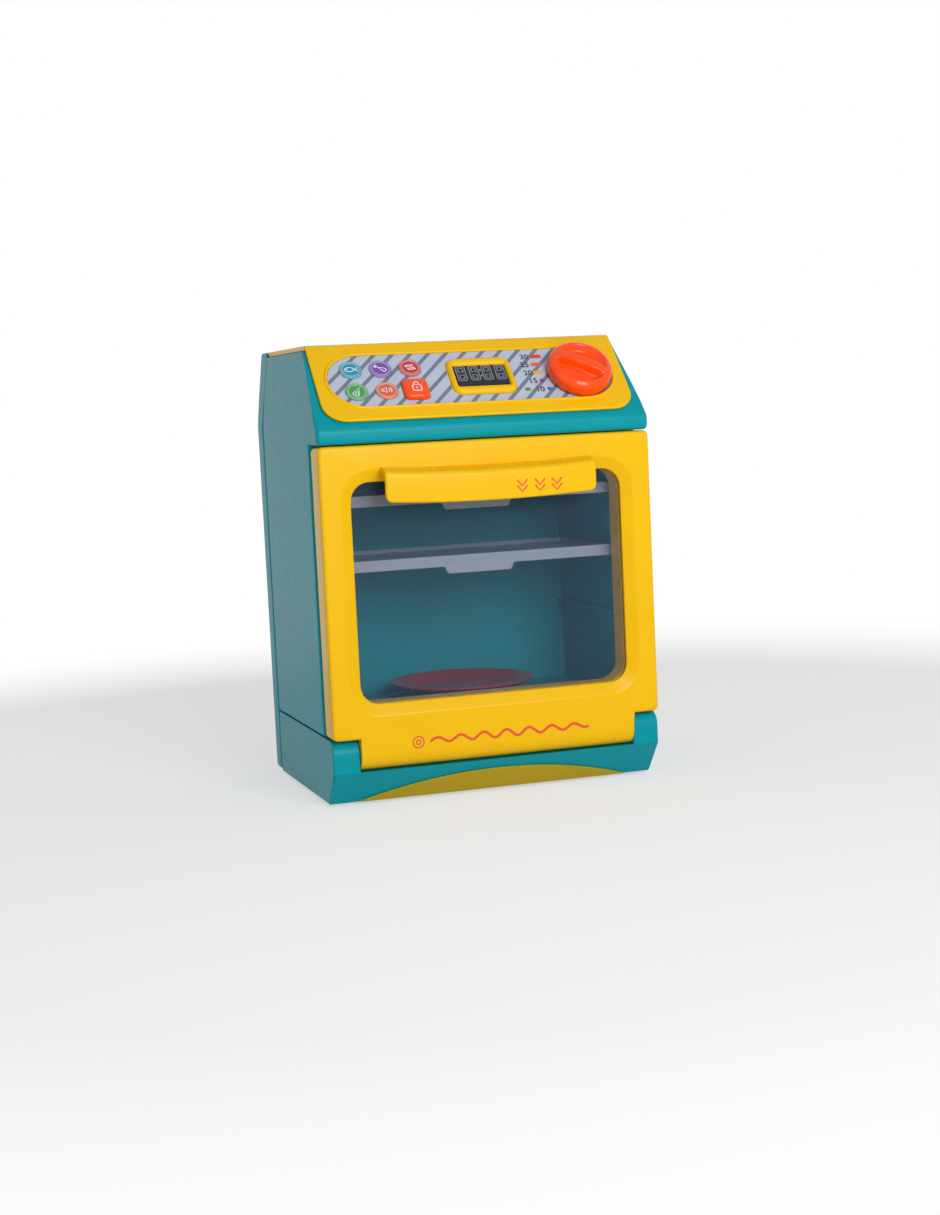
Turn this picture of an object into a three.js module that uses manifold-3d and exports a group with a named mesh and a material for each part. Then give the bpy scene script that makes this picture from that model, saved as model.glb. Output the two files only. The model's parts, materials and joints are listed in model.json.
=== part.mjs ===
// Pretend-play oven with a drop-down door, two pull-out trays, a driven turntable and a sloping
// control panel. Millimetres, +Z up, front towards -Y, origin at the middle of the footprint.
import * as THREE from 'three';
import { mergeVertices } from 'three/addons/utils/BufferGeometryUtils.js';
import Module from 'manifold-3d';

const wasm = await Module();
wasm.setup();

// Driving sizes of the whole oven
const oven = { width: 190, height: 252, depth: 150, wall: 2.4, fitGap: 0.3, overrun: 5 };
const edgeRound = 2;
const cornerRound = 3;
const shutGap = 0.5;
const runGap = 0.2;
const halfWidth = oven.width / 2;

// Handle lip across the top of the door: drop and rise are measured from the top of the window
const handle = {
  reach: 12,
  bow: 1,
  sag: 2,
  centreX: -1.5,
  endInset: 17.5,
  drop: 11,
  rise: 8,
  plate: 3,
  root: 2,
  nose: 4,
  edge: 0.7,
};

const frontY = -(oven.depth - handle.reach) / 2;
const backY = frontY + oven.depth;
const coverDepth = 15;
const coverFrontY = backY - coverDepth;

// Feet, and the base with its hinge ears and sloping kick
const foot = { radius: 6.5, height: 1.2, inset: 16 };
const base = { earRadius: 7.4, earWidth: 15.2, kickSetback: 18, kickDrop: 0.4 };
const baseLowZ = foot.height + oven.fitGap;
const baseFloorZ = baseLowZ + oven.wall + oven.fitGap;

// Door, hung on two pins low in the ears of the base
const door = { thickness: 20, bottomZ: 20.6, skin: 4.6, back: 2.4, sideFrame: 17.5 };
const hingeY = frontY + door.thickness / 2;
const hingeZ = door.bottomZ + door.thickness / 2;
const doorStepZ = hingeZ + base.earRadius + shutGap;
const shankHalf = halfWidth - base.earWidth - oven.fitGap;
const pin = { radius: 2, length: 14, clearance: 0.2, seat: 8, endWall: 1.3 };
const pane = { overlap: 2.5, thickness: 1.6 };
const nub = { halfWidth: 3.5, height: 3, reach: 1.8, belowTop: 4 };
const bodyFrontY = frontY + door.thickness + shutGap;

const kickTopZ = door.bottomZ - base.kickDrop;
const kickFrontY = hingeY - base.earRadius;
const kickFootY = frontY + base.kickSetback;
const trim = { endGap: 1.5, rise: 11.5, thickness: 1 };
const trimHalf = shankHalf - trim.endGap;

// Head with chin, slope and roof; heights run down from the top of the oven
const head = {
  slopeRise: 43,
  slopeRun: 41,
  chinHeight: 11.5,
  taper: 5,
  ridgeRound: 4,
  chinRound: 5,
  roofSink: 3,
};
const chinTopZ = oven.height - head.slopeRise;
const chinLowZ = chinTopZ - head.chinHeight;
const doorTopZ = chinLowZ - shutGap;
const slopeAngle = Math.atan2(head.slopeRise, head.slopeRun);
const slopeLength = Math.hypot(head.slopeRise, head.slopeRun);
const slopeY = frontY + head.slopeRun / 2;
const slopeZ = chinTopZ + head.slopeRise / 2;

// Gear motor, spindle and gears, stacked up from the base floor to the plate
const gear = { module: 1, face: 5, hubRadius: 7, holeGap: 3, headroom: 5.5 };
const toothCount = 40;
const pinionToothCount = 10;
const toothShares = { rootWidth: 0.31, tipWidth: 0.15, tipRise: 0.8, rootDrop: 1.1 };
const post = { radius: 5.5, flangeRadius: 10, flangeHeight: 3, pinRadius: 3, pinRise: 8 };
const gearMotor = {
  width: 26,
  length: 30,
  height: 22,
  bossRise: 6.8,
  shaftRadius: 2,
  shaftSeat: 5,
  canRadius: 10,
  canLength: 26,
};
const canFlatShare = 0.78;
const motorTopZ = baseFloorZ + gearMotor.height;
const gearLowZ = motorTopZ + gearMotor.bossRise;
const gearTopZ = gearLowZ + gear.face;

// Cavity liner, its rails and the round well in its floor; rail drops are measured from the ceiling
const well = { margin: 1.5, depth: 1.5 };
const cavity = { sideRoom: 14, backRoom: 20.8, belowDoorTop: 10, wall: 2, flangeGap: 2.6 };
const cavityHalf = halfWidth - cavity.sideRoom;
const cavityFloorZ = gearTopZ + gear.headroom + cavity.wall + well.depth;
const cavityCeilingZ = doorTopZ - cavity.belowDoorTop;
const cavityFrontY = bodyFrontY + oven.wall + oven.fitGap;
const cavityBackY = coverFrontY - cavity.backRoom - cavity.wall;
const rail = { reach: 3, thickness: 2, startBack: 5 };
const railDrops = [92, 58.2, 22.5];

// Window in the door, set in from the cavity's edges
const windowOpening = { margin: 10, corner: 10.5, bevelWidth: 6.5, bevelDepth: 3 };
const windowHalf = halfWidth - door.sideFrame;
const windowLowZ = cavityFloorZ + windowOpening.margin;
const windowHighZ = cavityCeilingZ - windowOpening.margin;

// Trays
const tray = {
  thickness: 1.6,
  rim: 2.4,
  rimWall: 1.6,
  lipUp: 4,
  lipDown: 2.2,
  lip: 2,
  tabHalf: 18.5,
  tabDrop: 4,
  sideGap: 1,
  backGap: 5.7,
};

// Turntable plate
const plate = {
  clear: 3.4,
  wellGap: 1,
  slope: 12,
  thickness: 2.2,
  rimHeight: 7,
  collar: 2.2,
  collarHeight: 2.5,
};
const turntableY = (cavityFrontY + cavityBackY) / 2;
const wellRadius = (cavityBackY - cavityFrontY) / 2 - well.margin;
const plateRadius = wellRadius - plate.wellGap;
const flatRadius = plateRadius - plate.slope;
const hubTopZ = cavityFloorZ + plate.clear;

// Control fascia and its label; the pieces of the panel sit a little above the middle of the slope
const panelLift = 0.95;
const fascia = {
  thickness: 2,
  topInset: 5.8,
  lowInset: 5.8,
  lowMargin: 2,
  corner: 13,
  railWidth: 16,
  stripWidth: 9,
};
const fasciaTopHalf = halfWidth - fascia.topInset;
const fasciaLowHalf = halfWidth - fascia.lowInset;
const label = { endMargin: 7.2, edgeMargin: 10.3, centreX: 0, thickness: 0.5, sink: 0.2 };
const labelHalf = fasciaLowHalf - label.endMargin;
const labelHalfHeight = slopeLength / 2 - label.edgeMargin;
const board = { drop: 10.4, thickness: 1.6, endMargin: 2.5, edgeMargin: 1.5, bossRadius: 2.5 };
const boardHalf = labelHalf - board.endMargin;
const boardHalfHeight = labelHalfHeight - board.edgeMargin;
const boardTopZ = -board.drop;

// Keys, power button and their switches
const key = {
  radius: 6.2,
  rise: 0.5,
  travel: 0.8,
  flange: 0.8,
  flangeHeight: 1.4,
  stemRadius: 2.5,
  gap: 2.85,
  rowGap: 2.6,
  endInset: 14.3,
};
const power = { half: 7.4, corner: 3.7, rise: 3, travel: 2, gap: 1.15 };
const keySwitch = { half: 3.2, height: 3.4 };
const keyReach = key.radius + key.flange;
const keyPitch = 2 * keyReach + key.gap;
const keyRow = keyReach + key.rowGap / 2;
const keysX = label.centreX - labelHalf + key.endInset;
const keyColumns = 3;
const powerX = keysX + (keyColumns - 2) * keyPitch + keyReach + power.gap + power.half + key.flange;
const switchTopZ = boardTopZ + oven.fitGap + keySwitch.height;

// Knob with its grip bar between two scooped hollows, and the switch that it turns
const knob = {
  endInset: 20.2,
  drop: 1.7,
  radius: 18.4,
  rise: 1,
  height: 11,
  gripHalf: 3.2,
  scoopRim: 3.4,
  scoopDepth: 5,
  turn: 158,
};
const knobX = label.centreX + labelHalf - knob.endInset;
const knobV = -knob.drop;
const knobStem = { radius: 3, clearance: 0.3, boardGap: 1.9 };
const knobShares = [[1, 0], [1, 0.42], [0.95, 0.62], [0.82, 0.8], [0.58, 0.92], [0.3, 0.98]];
const rotary = { half: 8, height: 5.6 };

// Display between the keys and the knob
const display = {
  halfWidth: 15.1,
  halfHeight: 7.8,
  bezelSide: 3.6,
  bezelEnd: 6,
  bezelRound: 6,
  bezelRise: 1.6,
  lensRise: 0.8,
  moduleSide: 2.5,
  moduleEnd: 2.75,
  moduleHeight: 5.2,
};
const displayShare = 0.458;
const keysEndX = powerX + power.half;
const displayX = keysEndX + displayShare * (knobX - knob.radius - keysEndX);

// Screws of the rear cover
const screw = {
  radius: 1.5,
  headRadius: 3,
  headHeight: 2,
  slotHalf: 0.4,
  slotDepth: 0.8,
  length: 15,
  bossRadius: 4.6,
  bossSetback: 2.6,
  postLength: 16,
  recess: 7,
};
const screwEnds = { low: 55, high: 62 };
const screwHeights = [screwEnds.low, oven.height - screwEnds.high];
const screwX = halfWidth - oven.wall - screw.bossRadius + 2 * oven.fitGap;

// Battery compartment behind the hatch in the rear cover
const battery = {
  radius: 7,
  length: 49,
  gap: 1,
  lowZ: 62,
  wall: 1.6,
  sideRoom: 2.8,
  ledge: 3,
  tipRadius: 2.8,
};
const cellCount = 3;
const cellPitch = 2 * battery.radius + battery.gap;
const hatch = { thickness: 2.2, screwDrop: 4.5, recess: 1.2 };
const contact = { thickness: 0.4, gap: 0.3, halfWidth: 5.6 };
const batteryBackY = backY - hatch.thickness - oven.fitGap;
const cellRoomHalf = battery.length / 2 + battery.sideRoom;
const cellRoomHigh = battery.lowZ + cellPitch * cellCount;
const cellRoomDepth = cellPitch + battery.wall;
const hatchHalfWidth = cellRoomHalf + battery.wall + battery.ledge;
const hatchLowZ = battery.lowZ - battery.wall - battery.ledge;
const hatchHighZ = cellRoomHigh + battery.wall + battery.ledge;

// Speaker behind its grille, between the hatch and the top
const speaker = { radius: 20, depth: 12, magnetRadius: 11, rimHeight: 3 };
const grille = { slotHalf: 1.5, edge: 0.8 };
const slotCount = 7;
const slotPitch = 2 * (speaker.radius - speaker.rimHeight - grille.edge) / (slotCount - 1);
const speakerShare = 0.447;
const speakerZ = hatchHighZ + speakerShare * (oven.height - hatchHighZ);

// Lamp in the cavity ceiling
const lamp = {
  radius: 9,
  rise: 4,
  noseRadius: 5.4,
  noseRise: 3.2,
  flange: 2,
  flangeHeight: 1.4,
  boardHalf: 12,
  boardThickness: 1.6,
  ledRadius: 2.5,
  ledHeight: 5,
};

// Finishes of the parts
const finish = {
  teal: [0x0097a7, 0.45, 0],
  yellow: [0xf2c500, 0.4, 0],
  orange: [0xff4a14, 0.35, 0],
  tray: [0xcdd5e4, 0.3, 0],
  smoke: [0x4a5560, 0.1, 0],
  darkRed: [0x8c1f2b, 0.35, 0],
  screen: [0x20242e, 0.2, 0],
  label: [0xcfd8ea, 0.4, 0],
  board: [0x2f6b3c, 0.6, 0],
  metal: [0xb9bcc0, 0.3, 1],
  black: [0x1d1e20, 0.6, 0],
  white: [0xf2f2ee, 0.5, 0],
  blueKey: [0x1a93b0, 0.4, 0],
  purpleKey: [0x7a4ba5, 0.4, 0],
  redKey: [0xbe3237, 0.4, 0],
  greenKey: [0x469650, 0.4, 0],
  amberKey: [0xd75f2d, 0.4, 0],
};

const roundSides = 24;
const smallSides = 12;
const cornerSteps = 3;
const bevelSteps = 2;

const axisX = new THREE.Vector3(1, 0, 0);
const axisY = new THREE.Vector3(0, 1, 0);
const axisZ = new THREE.Vector3(0, 0, 1);

// Closed solid of a geometry, for cutting and joining; faces that a tight corner folds flat are dropped
function solid(geometry) {
  const bare = geometry.clone();
  bare.deleteAttribute('normal');
  bare.deleteAttribute('uv');
  const merged = mergeVertices(bare, oven.fitGap / 1e3);
  const corners = merged.index.array;
  const kept = [];
  for (let i = 0; i < corners.length; i += 3) {
    const [a, b, c] = corners.subarray(i, i + 3);
    if (a !== b && b !== c && c !== a) kept.push(a, b, c);
  }
  return new wasm.Manifold(new wasm.Mesh({
    numProp: 3,
    vertProperties: new Float32Array(merged.attributes.position.array),
    triVerts: new Uint32Array(kept),
  }));
}

// Geometry of a finished solid
function geometryOf(part) {
  const mesh = part.getMesh();
  const geometry = new THREE.BufferGeometry();
  geometry.setAttribute('position', new THREE.BufferAttribute(mesh.vertProperties, 3));
  geometry.setIndex(new THREE.BufferAttribute(mesh.triVerts, 1));
  geometry.computeVertexNormals();
  return geometry;
}

const joined = (first, ...rest) => rest.reduce((whole, part) => whole.add(part), first);
const cut = (first, ...rest) => rest.reduce((whole, part) => whole.subtract(part), first);

// Outline with its corners rounded; radii is one radius or one for each corner
function roundedOutline(corners, radii, steps = cornerSteps) {
  const points = [];
  corners.forEach((corner, i) => {
    const radius = Array.isArray(radii) ? radii[i] : radii;
    const here = new THREE.Vector2(...corner);
    if (!radius) {
      points.push(here);
      return;
    }
    const back = new THREE.Vector2(...corners.at(i - 1)).sub(here).normalize();
    const ahead = new THREE.Vector2(...corners[(i + 1) % corners.length]).sub(here).normalize();
    const half = Math.acos(back.dot(ahead)) / 2;
    const centre = back.clone().add(ahead).normalize().multiplyScalar(radius / Math.sin(half)).add(here);
    const start = back.clone().multiplyScalar(radius / Math.tan(half)).add(here).sub(centre);
    const end = ahead.clone().multiplyScalar(radius / Math.tan(half)).add(here).sub(centre);
    const sweep = Math.atan2(start.cross(end), start.dot(end));
    for (let k = 0; k <= steps; k += 1) {
      points.push(start.clone().rotateAround(new THREE.Vector2(), sweep * k / steps).add(centre));
    }
  });
  return new THREE.Shape(points);
}

const rectangle = (x0, y0, x1, y1) => [[x0, y0], [x1, y0], [x1, y1], [x0, y1]];

// Corners moved inwards by a distance, for the inside of a shell
function insetCorners(corners, distance) {
  return corners.map((corner, i) => {
    const here = new THREE.Vector2(...corner);
    const before = here.clone().sub(new THREE.Vector2(...corners.at(i - 1))).normalize();
    const after = new THREE.Vector2(...corners[(i + 1) % corners.length]).sub(here).normalize();
    const inA = new THREE.Vector2(-before.y, before.x);
    const inB = new THREE.Vector2(-after.y, after.x);
    const middle = inA.clone().add(inB).normalize();
    return here.add(middle.multiplyScalar(distance / middle.dot(inA))).toArray();
  });
}

// Straight extrusion from 0 to length, with its two end edges rounded by bevel
function extrude(shape, length, bevel, steps = 1) {
  const geometry = new THREE.ExtrudeGeometry(shape, {
    depth: length - 2 * bevel,
    steps,
    bevelEnabled: bevel > 0,
    bevelThickness: bevel,
    bevelSize: bevel,
    bevelOffset: -bevel,
    bevelSegments: bevelSteps,
  });
  return geometry.translate(0, 0, bevel);
}

// Outline in (y, z) carried along X, outline in (x, z) carried along Y, outline in (x, y) carried up Z
function alongX(shape, fromX, toX, bevel = 0, steps = 1) {
  const turn = new THREE.Matrix4().makeBasis(axisY, axisZ, axisX);
  return extrude(shape, toX - fromX, bevel, steps).applyMatrix4(turn).translate(fromX, 0, 0);
}

function alongY(shape, fromY, toY, bevel = 0) {
  const turn = new THREE.Matrix4().makeBasis(axisX, axisZ, axisY.clone().negate());
  return extrude(shape, toY - fromY, bevel).applyMatrix4(turn).translate(0, toY, 0);
}

function alongZ(shape, fromZ, toZ, bevel = 0) {
  return extrude(shape, toZ - fromZ, bevel).translate(0, 0, fromZ);
}

const box = (x0, y0, z0, x1, y1, z1) => solid(alongZ(roundedOutline(rectangle(x0, y0, x1, y1), 0), z0, z1));

// Round bars along each axis
const upright = (radius, x, y, z0, z1, sides = roundSides) => {
  const bar = new THREE.CylinderGeometry(radius, radius, z1 - z0, sides).rotateX(Math.PI / 2);
  return solid(bar.translate(x, y, (z0 + z1) / 2));
};
const crosswise = (radius, y, z, x0, x1, sides = smallSides) => {
  const bar = new THREE.CylinderGeometry(radius, radius, x1 - x0, sides).rotateZ(Math.PI / 2);
  return solid(bar.translate((x0 + x1) / 2, y, z));
};
const lengthwise = (radius, x, z, y0, y1, sides = smallSides) => {
  const bar = new THREE.CylinderGeometry(radius, radius, y1 - y0, sides);
  return solid(bar.translate(x, (y0 + y1) / 2, z));
};

// Solid of revolution about Z from radius and height pairs that start and end on the axis
function turned(pairs, x = 0, y = 0, sides = roundSides) {
  const profile = pairs.map(([radius, z]) => new THREE.Vector2(radius, z));
  return solid(new THREE.LatheGeometry(profile, sides).rotateX(Math.PI / 2).translate(x, y, 0));
}

// Frame of the panel: X across, Y up the slope, Z out of it
const slopeMatrix = new THREE.Matrix4().makeRotationX(slopeAngle).setPosition(
  0,
  slopeY + panelLift * Math.cos(slopeAngle),
  slopeZ + panelLift * Math.sin(slopeAngle),
);
const onSlope = (part) => solid(geometryOf(part).applyMatrix4(slopeMatrix));

const root = new THREE.Group();
const controls = new THREE.Group();
controls.applyMatrix4(slopeMatrix);
root.add(controls);

function add(name, part, [color, roughness, metalness], parent = root) {
  const material = new THREE.MeshStandardMaterial({ color, roughness, metalness });
  const mesh = new THREE.Mesh(geometryOf(part), material);
  mesh.name = name;
  parent.add(mesh);
}

// Head profile in (y, z); sink lowers the slope, roof lowers the top, back is where it ends
function headCorners(sink, roofZ, backEndY, lowZ) {
  const lineY = slopeY + sink * Math.sin(slopeAngle);
  const lineZ = slopeZ - sink * Math.cos(slopeAngle);
  const tangent = Math.tan(slopeAngle);
  return [
    [bodyFrontY, lowZ],
    [backEndY, lowZ],
    [backEndY, roofZ],
    [lineY + (roofZ - lineZ) / tangent, roofZ],
    [frontY, lineZ - (lineY - frontY) * tangent],
    [frontY, chinLowZ],
    [bodyFrontY, chinLowZ],
  ];
}

// The two wedges that lean the head's sides in, moved inwards by inset
function headLean(inset) {
  const topX = halfWidth - inset - head.taper;
  const side = [
    [halfWidth - inset, chinTopZ],
    [halfWidth + head.taper, chinTopZ],
    [halfWidth + head.taper, oven.height + oven.overrun],
    [topX, oven.height + oven.overrun],
    [topX, oven.height],
  ];
  const fromY = frontY - oven.overrun;
  const toY = backY + oven.overrun;
  const right = solid(alongY(roundedOutline(side, 0), fromY, toY));
  return right.add(right.mirror([1, 0, 0]));
}

const fasciaSink = fascia.thickness + oven.fitGap;
const roofZ = oven.height - head.roofSink;
const housingLowZ = doorStepZ - oven.fitGap / 2;

function outerHousing() {
  const corners = headCorners(fasciaSink, roofZ, coverFrontY - oven.fitGap, housingLowZ);
  const radii = [0, 0, 0, head.ridgeRound, head.chinRound, cornerRound, 0];
  const shell = solid(alongX(roundedOutline(corners, radii), -halfWidth, halfWidth, edgeRound));
  const inside = insetCorners(corners, oven.wall);
  inside[0][1] = housingLowZ - oven.overrun;
  inside[1] = [coverFrontY + oven.overrun, housingLowZ - oven.overrun];
  inside[2][0] = coverFrontY + oven.overrun;
  const hollow = solid(alongX(roundedOutline(inside, 0), oven.wall - halfWidth, halfWidth - oven.wall));
  const mouth = solid(alongY(
    roundedOutline(rectangle(-cavityHalf, cavityFloorZ, cavityHalf, cavityCeilingZ), edgeRound),
    bodyFrontY - oven.overrun,
    bodyFrontY + oven.overrun,
  ));
  const panelHole = onSlope(box(
    -boardHalf - key.flange,
    -boardHalfHeight - key.flange,
    -board.drop,
    boardHalf + key.flange,
    boardHalfHeight + key.flange,
    oven.overrun,
  ));
  const catchZ = doorTopZ - nub.belowTop;
  const pocket = box(
    -nub.halfWidth - 2 * oven.fitGap,
    bodyFrontY - oven.overrun,
    catchZ - nub.height - 2 * oven.fitGap,
    nub.halfWidth + 2 * oven.fitGap,
    bodyFrontY + oven.overrun,
    catchZ + 2 * oven.fitGap,
  );
  const walls = cut(shell, headLean(0), hollow.subtract(headLean(oven.wall)), mouth, panelHole, pocket);
  const posts = [];
  for (const x of [-screwX, screwX]) {
    for (const z of screwHeights) {
      const startY = coverFrontY - screw.postLength;
      const outside = lengthwise(screw.bossRadius, x, z, startY + oven.fitGap, coverFrontY - oven.fitGap);
      const bore = lengthwise(screw.radius + runGap, x, z, startY, coverFrontY + oven.overrun);
      posts.push([outside, bore]);
    }
  }
  const withPosts = joined(walls, ...posts.map(([outside]) => outside));
  return cut(withPosts, ...posts.map(([, bore]) => bore));
}

function rearCover() {
  const outline = roundedOutline(
    rectangle(-halfWidth, baseLowZ, halfWidth, oven.height),
    [cornerRound, cornerRound, head.ridgeRound, head.ridgeRound],
  );
  const inside = roundedOutline(
    rectangle(oven.wall - halfWidth, baseLowZ + oven.wall, halfWidth - oven.wall, oven.height - oven.wall),
    edgeRound,
  );
  const shell = solid(alongY(outline, coverFrontY, backY, edgeRound));
  const innerBackY = backY - oven.wall;
  const hollow = solid(alongY(inside, coverFrontY - oven.overrun, innerBackY));
  const pan = cut(shell, headLean(0), hollow.subtract(headLean(oven.wall)));
  const hatchHole = box(
    -hatchHalfWidth - oven.fitGap,
    innerBackY - oven.overrun,
    hatchLowZ - oven.fitGap,
    hatchHalfWidth + oven.fitGap,
    backY + oven.overrun,
    hatchHighZ + oven.fitGap,
  );
  const slots = [];
  for (let i = 0; i < slotCount; i += 1) {
    const x = (i - (slotCount - 1) / 2) * slotPitch;
    const reach = Math.sqrt((speaker.radius - speaker.rimHeight) ** 2 - x ** 2);
    slots.push(solid(alongY(
      roundedOutline(
        rectangle(x - grille.slotHalf, speakerZ - reach, x + grille.slotHalf, speakerZ + reach),
        grille.slotHalf / 2,
        1,
      ),
      innerBackY - oven.overrun,
      backY + oven.overrun,
    )));
  }
  const bosses = [];
  const bores = [];
  for (const x of [-screwX, screwX]) {
    for (const z of screwHeights) {
      const bossFrontY = coverFrontY + screw.bossSetback;
      bosses.push(lengthwise(screw.bossRadius, x, z, bossFrontY, innerBackY + oven.wall / 2));
      bores.push(lengthwise(screw.radius + runGap, x, z, coverFrontY - oven.overrun, backY));
      bores.push(lengthwise(screw.headRadius + runGap, x, z, backY - screw.recess, backY + oven.overrun));
    }
  }
  return cut(joined(pan, ...bosses), hatchHole, ...slots, ...bores);
}

function coverScrew(x, z) {
  const seatY = backY - screw.recess - oven.fitGap / 2;
  const shank = lengthwise(screw.radius, x, z, seatY - screw.length, seatY + screw.headHeight / 2);
  const crownY = seatY + screw.headHeight + oven.fitGap;
  const crown = lengthwise(screw.headRadius, x, z, seatY + oven.fitGap, crownY);
  return cut(joined(shank, crown), screwSlot(x, z, crownY, screw.slotDepth));
}

// Slot for a screwdriver in a head whose crown lies at crownY
function screwSlot(x, z, crownY, depth) {
  return box(
    x - screw.headRadius,
    crownY - depth,
    z - screw.slotHalf,
    x + screw.headRadius,
    crownY + oven.overrun,
    z + screw.slotHalf,
  );
}

function baseTray() {
  const topZ = housingLowZ - oven.fitGap;
  const corners = [
    [kickFootY, baseLowZ],
    [coverFrontY - oven.fitGap, baseLowZ],
    [coverFrontY - oven.fitGap, topZ],
    [bodyFrontY, topZ],
    [bodyFrontY, kickTopZ],
    [kickFrontY, kickTopZ],
  ];
  const shell = solid(alongX(roundedOutline(corners, 0), -halfWidth, halfWidth, edgeRound / 2));
  const inside = insetCorners(corners, oven.wall);
  inside[1][0] = coverFrontY + oven.overrun;
  inside[2] = [coverFrontY + oven.overrun, topZ + oven.overrun];
  inside[3][1] = topZ + oven.overrun;
  const hollow = solid(alongX(roundedOutline(inside, 0), oven.wall - halfWidth, halfWidth - oven.wall));
  const earCorners = [
    [bodyFrontY + oven.wall, kickTopZ - oven.wall],
    [bodyFrontY + oven.wall, hingeZ + base.earRadius],
    [kickFrontY, hingeZ + base.earRadius],
    [kickFrontY, kickTopZ],
    [kickFrontY + oven.wall, kickTopZ - oven.wall],
  ];
  const earInnerX = shankHalf + oven.fitGap;
  const earShape = roundedOutline(earCorners, [0, 0, base.earRadius, 0, 0], 2 * cornerSteps);
  const ear = solid(alongX(earShape, earInnerX, halfWidth, edgeRound / 2));
  const socketRadius = pin.radius + pin.clearance;
  const socket = crosswise(socketRadius, hingeY, hingeZ, earInnerX - oven.overrun, earInnerX + pin.seat);
  const drilled = ear.subtract(socket);
  return joined(cut(shell, hollow), drilled, drilled.mirror([1, 0, 0]));
}

// Yellow arc on the sloping kick, lying a hair above its face
function baseArcTrim() {
  const rise = kickTopZ - baseLowZ;
  const run = kickFootY - kickFrontY;
  const up = new THREE.Vector3(0, -run, rise).normalize();
  const out = axisX.clone().cross(up);
  const radius = (trimHalf ** 2 + trim.rise ** 2) / (2 * trim.rise);
  const sweep = Math.asin(trimHalf / radius);
  const arc = new THREE.Shape();
  arc.absarc(0, trim.rise - radius, radius, Math.PI / 2 - sweep, Math.PI / 2 + sweep, false);
  const bar = new THREE.ExtrudeGeometry(arc, {
    depth: trim.thickness,
    bevelEnabled: false,
    curveSegments: roundSides / 2,
  });
  bar.translate(0, oven.fitGap, oven.fitGap);
  const place = new THREE.Matrix4().makeBasis(axisX, up, out).setPosition(0, kickFootY, baseLowZ);
  return solid(bar.applyMatrix4(place));
}

function cavityLiner() {
  const backInnerY = cavityBackY;
  const outerHalf = cavityHalf + cavity.wall;
  const lowZ = cavityFloorZ - cavity.wall;
  const highZ = cavityCeilingZ + cavity.wall;
  const shell = box(-outerHalf, cavityFrontY, lowZ, outerHalf, backInnerY + cavity.wall, highZ);
  const flangeHalf = halfWidth - oven.wall - cavity.flangeGap;
  const flange = box(
    -flangeHalf,
    cavityFrontY,
    lowZ - cavity.wall * 2,
    flangeHalf,
    cavityFrontY + cavity.wall,
    highZ + cavity.wall * 2,
  );
  const wellCup = upright(wellRadius + cavity.wall / 2, 0, turntableY, lowZ - well.depth, cavityFloorZ);
  const room = box(
    -cavityHalf,
    cavityFrontY - oven.overrun,
    cavityFloorZ,
    cavityHalf,
    backInnerY,
    cavityCeilingZ,
  );
  const wellRoom = upright(wellRadius, 0, turntableY, cavityFloorZ - well.depth, cavityFloorZ + oven.overrun);
  const hubHole = upright(gear.hubRadius + gear.holeGap, 0, turntableY, 0, cavityFloorZ);
  const lampHole = upright(lamp.radius + runGap, 0, turntableY, cavityCeilingZ - oven.overrun, oven.height);
  const open = cut(joined(shell, flange, wellCup), room, wellRoom, hubHole, lampHole);
  const rails = [];
  for (const drop of railDrops) {
    const z = cavityCeilingZ - drop;
    for (const side of [-1, 1]) {
      const x0 = side * (cavityHalf + cavity.wall / 2);
      const x1 = side * (cavityHalf - rail.reach);
      rails.push(box(
        Math.min(x0, x1),
        cavityFrontY + rail.startBack,
        z - rail.thickness,
        Math.max(x0, x1),
        backInnerY + cavity.wall / 2,
        z,
      ));
    }
  }
  return joined(open, ...rails);
}

function trayAt(drop) {
  const lowZ = cavityCeilingZ - drop + oven.fitGap;
  const half = cavityHalf - tray.sideGap;
  const startY = cavityFrontY + oven.fitGap;
  const endY = cavityBackY - tray.backGap;
  const pan = box(-half, startY, lowZ, half, endY, lowZ + tray.thickness + tray.rim);
  const hollow = box(
    tray.rimWall - half,
    startY + tray.lip,
    lowZ + tray.thickness,
    half - tray.rimWall,
    endY - tray.rimWall,
    lowZ + oven.height,
  );
  const lipLowZ = lowZ - tray.lipDown;
  const lipCorners = [
    [-half, lipLowZ],
    [-tray.tabHalf - tray.tabDrop / 2, lipLowZ],
    [-tray.tabHalf, lipLowZ - tray.tabDrop],
    [tray.tabHalf, lipLowZ - tray.tabDrop],
    [tray.tabHalf + tray.tabDrop / 2, lipLowZ],
    [half, lipLowZ],
    [half, lowZ + tray.lipUp],
    [-half, lowZ + tray.lipUp],
  ];
  const lip = solid(alongY(roundedOutline(lipCorners, tray.lip / 2), startY, startY + tray.lip));
  return joined(cut(pan, hollow), lip);
}

// Toothed outline: each tooth is a trapezoid over the root circle
function gearShape(teeth, turn) {
  const pitchRadius = teeth * gear.module / 2;
  const rootRadius = pitchRadius - toothShares.rootDrop * gear.module;
  const tipRadius = pitchRadius + toothShares.tipRise * gear.module;
  const step = 2 * Math.PI / teeth;
  const points = [];
  for (let i = 0; i < teeth; i += 1) {
    const middle = turn + i * step;
    const places = [
      [rootRadius, -toothShares.rootWidth],
      [tipRadius, -toothShares.tipWidth],
      [tipRadius, toothShares.tipWidth],
      [rootRadius, toothShares.rootWidth],
    ];
    for (const [radius, share] of places) {
      const angle = middle + share * step;
      points.push(new THREE.Vector2(radius * Math.cos(angle), radius * Math.sin(angle)));
    }
  }
  return new THREE.Shape(points);
}

const centreDistance = (toothCount + pinionToothCount) * gear.module / 2;

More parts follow.
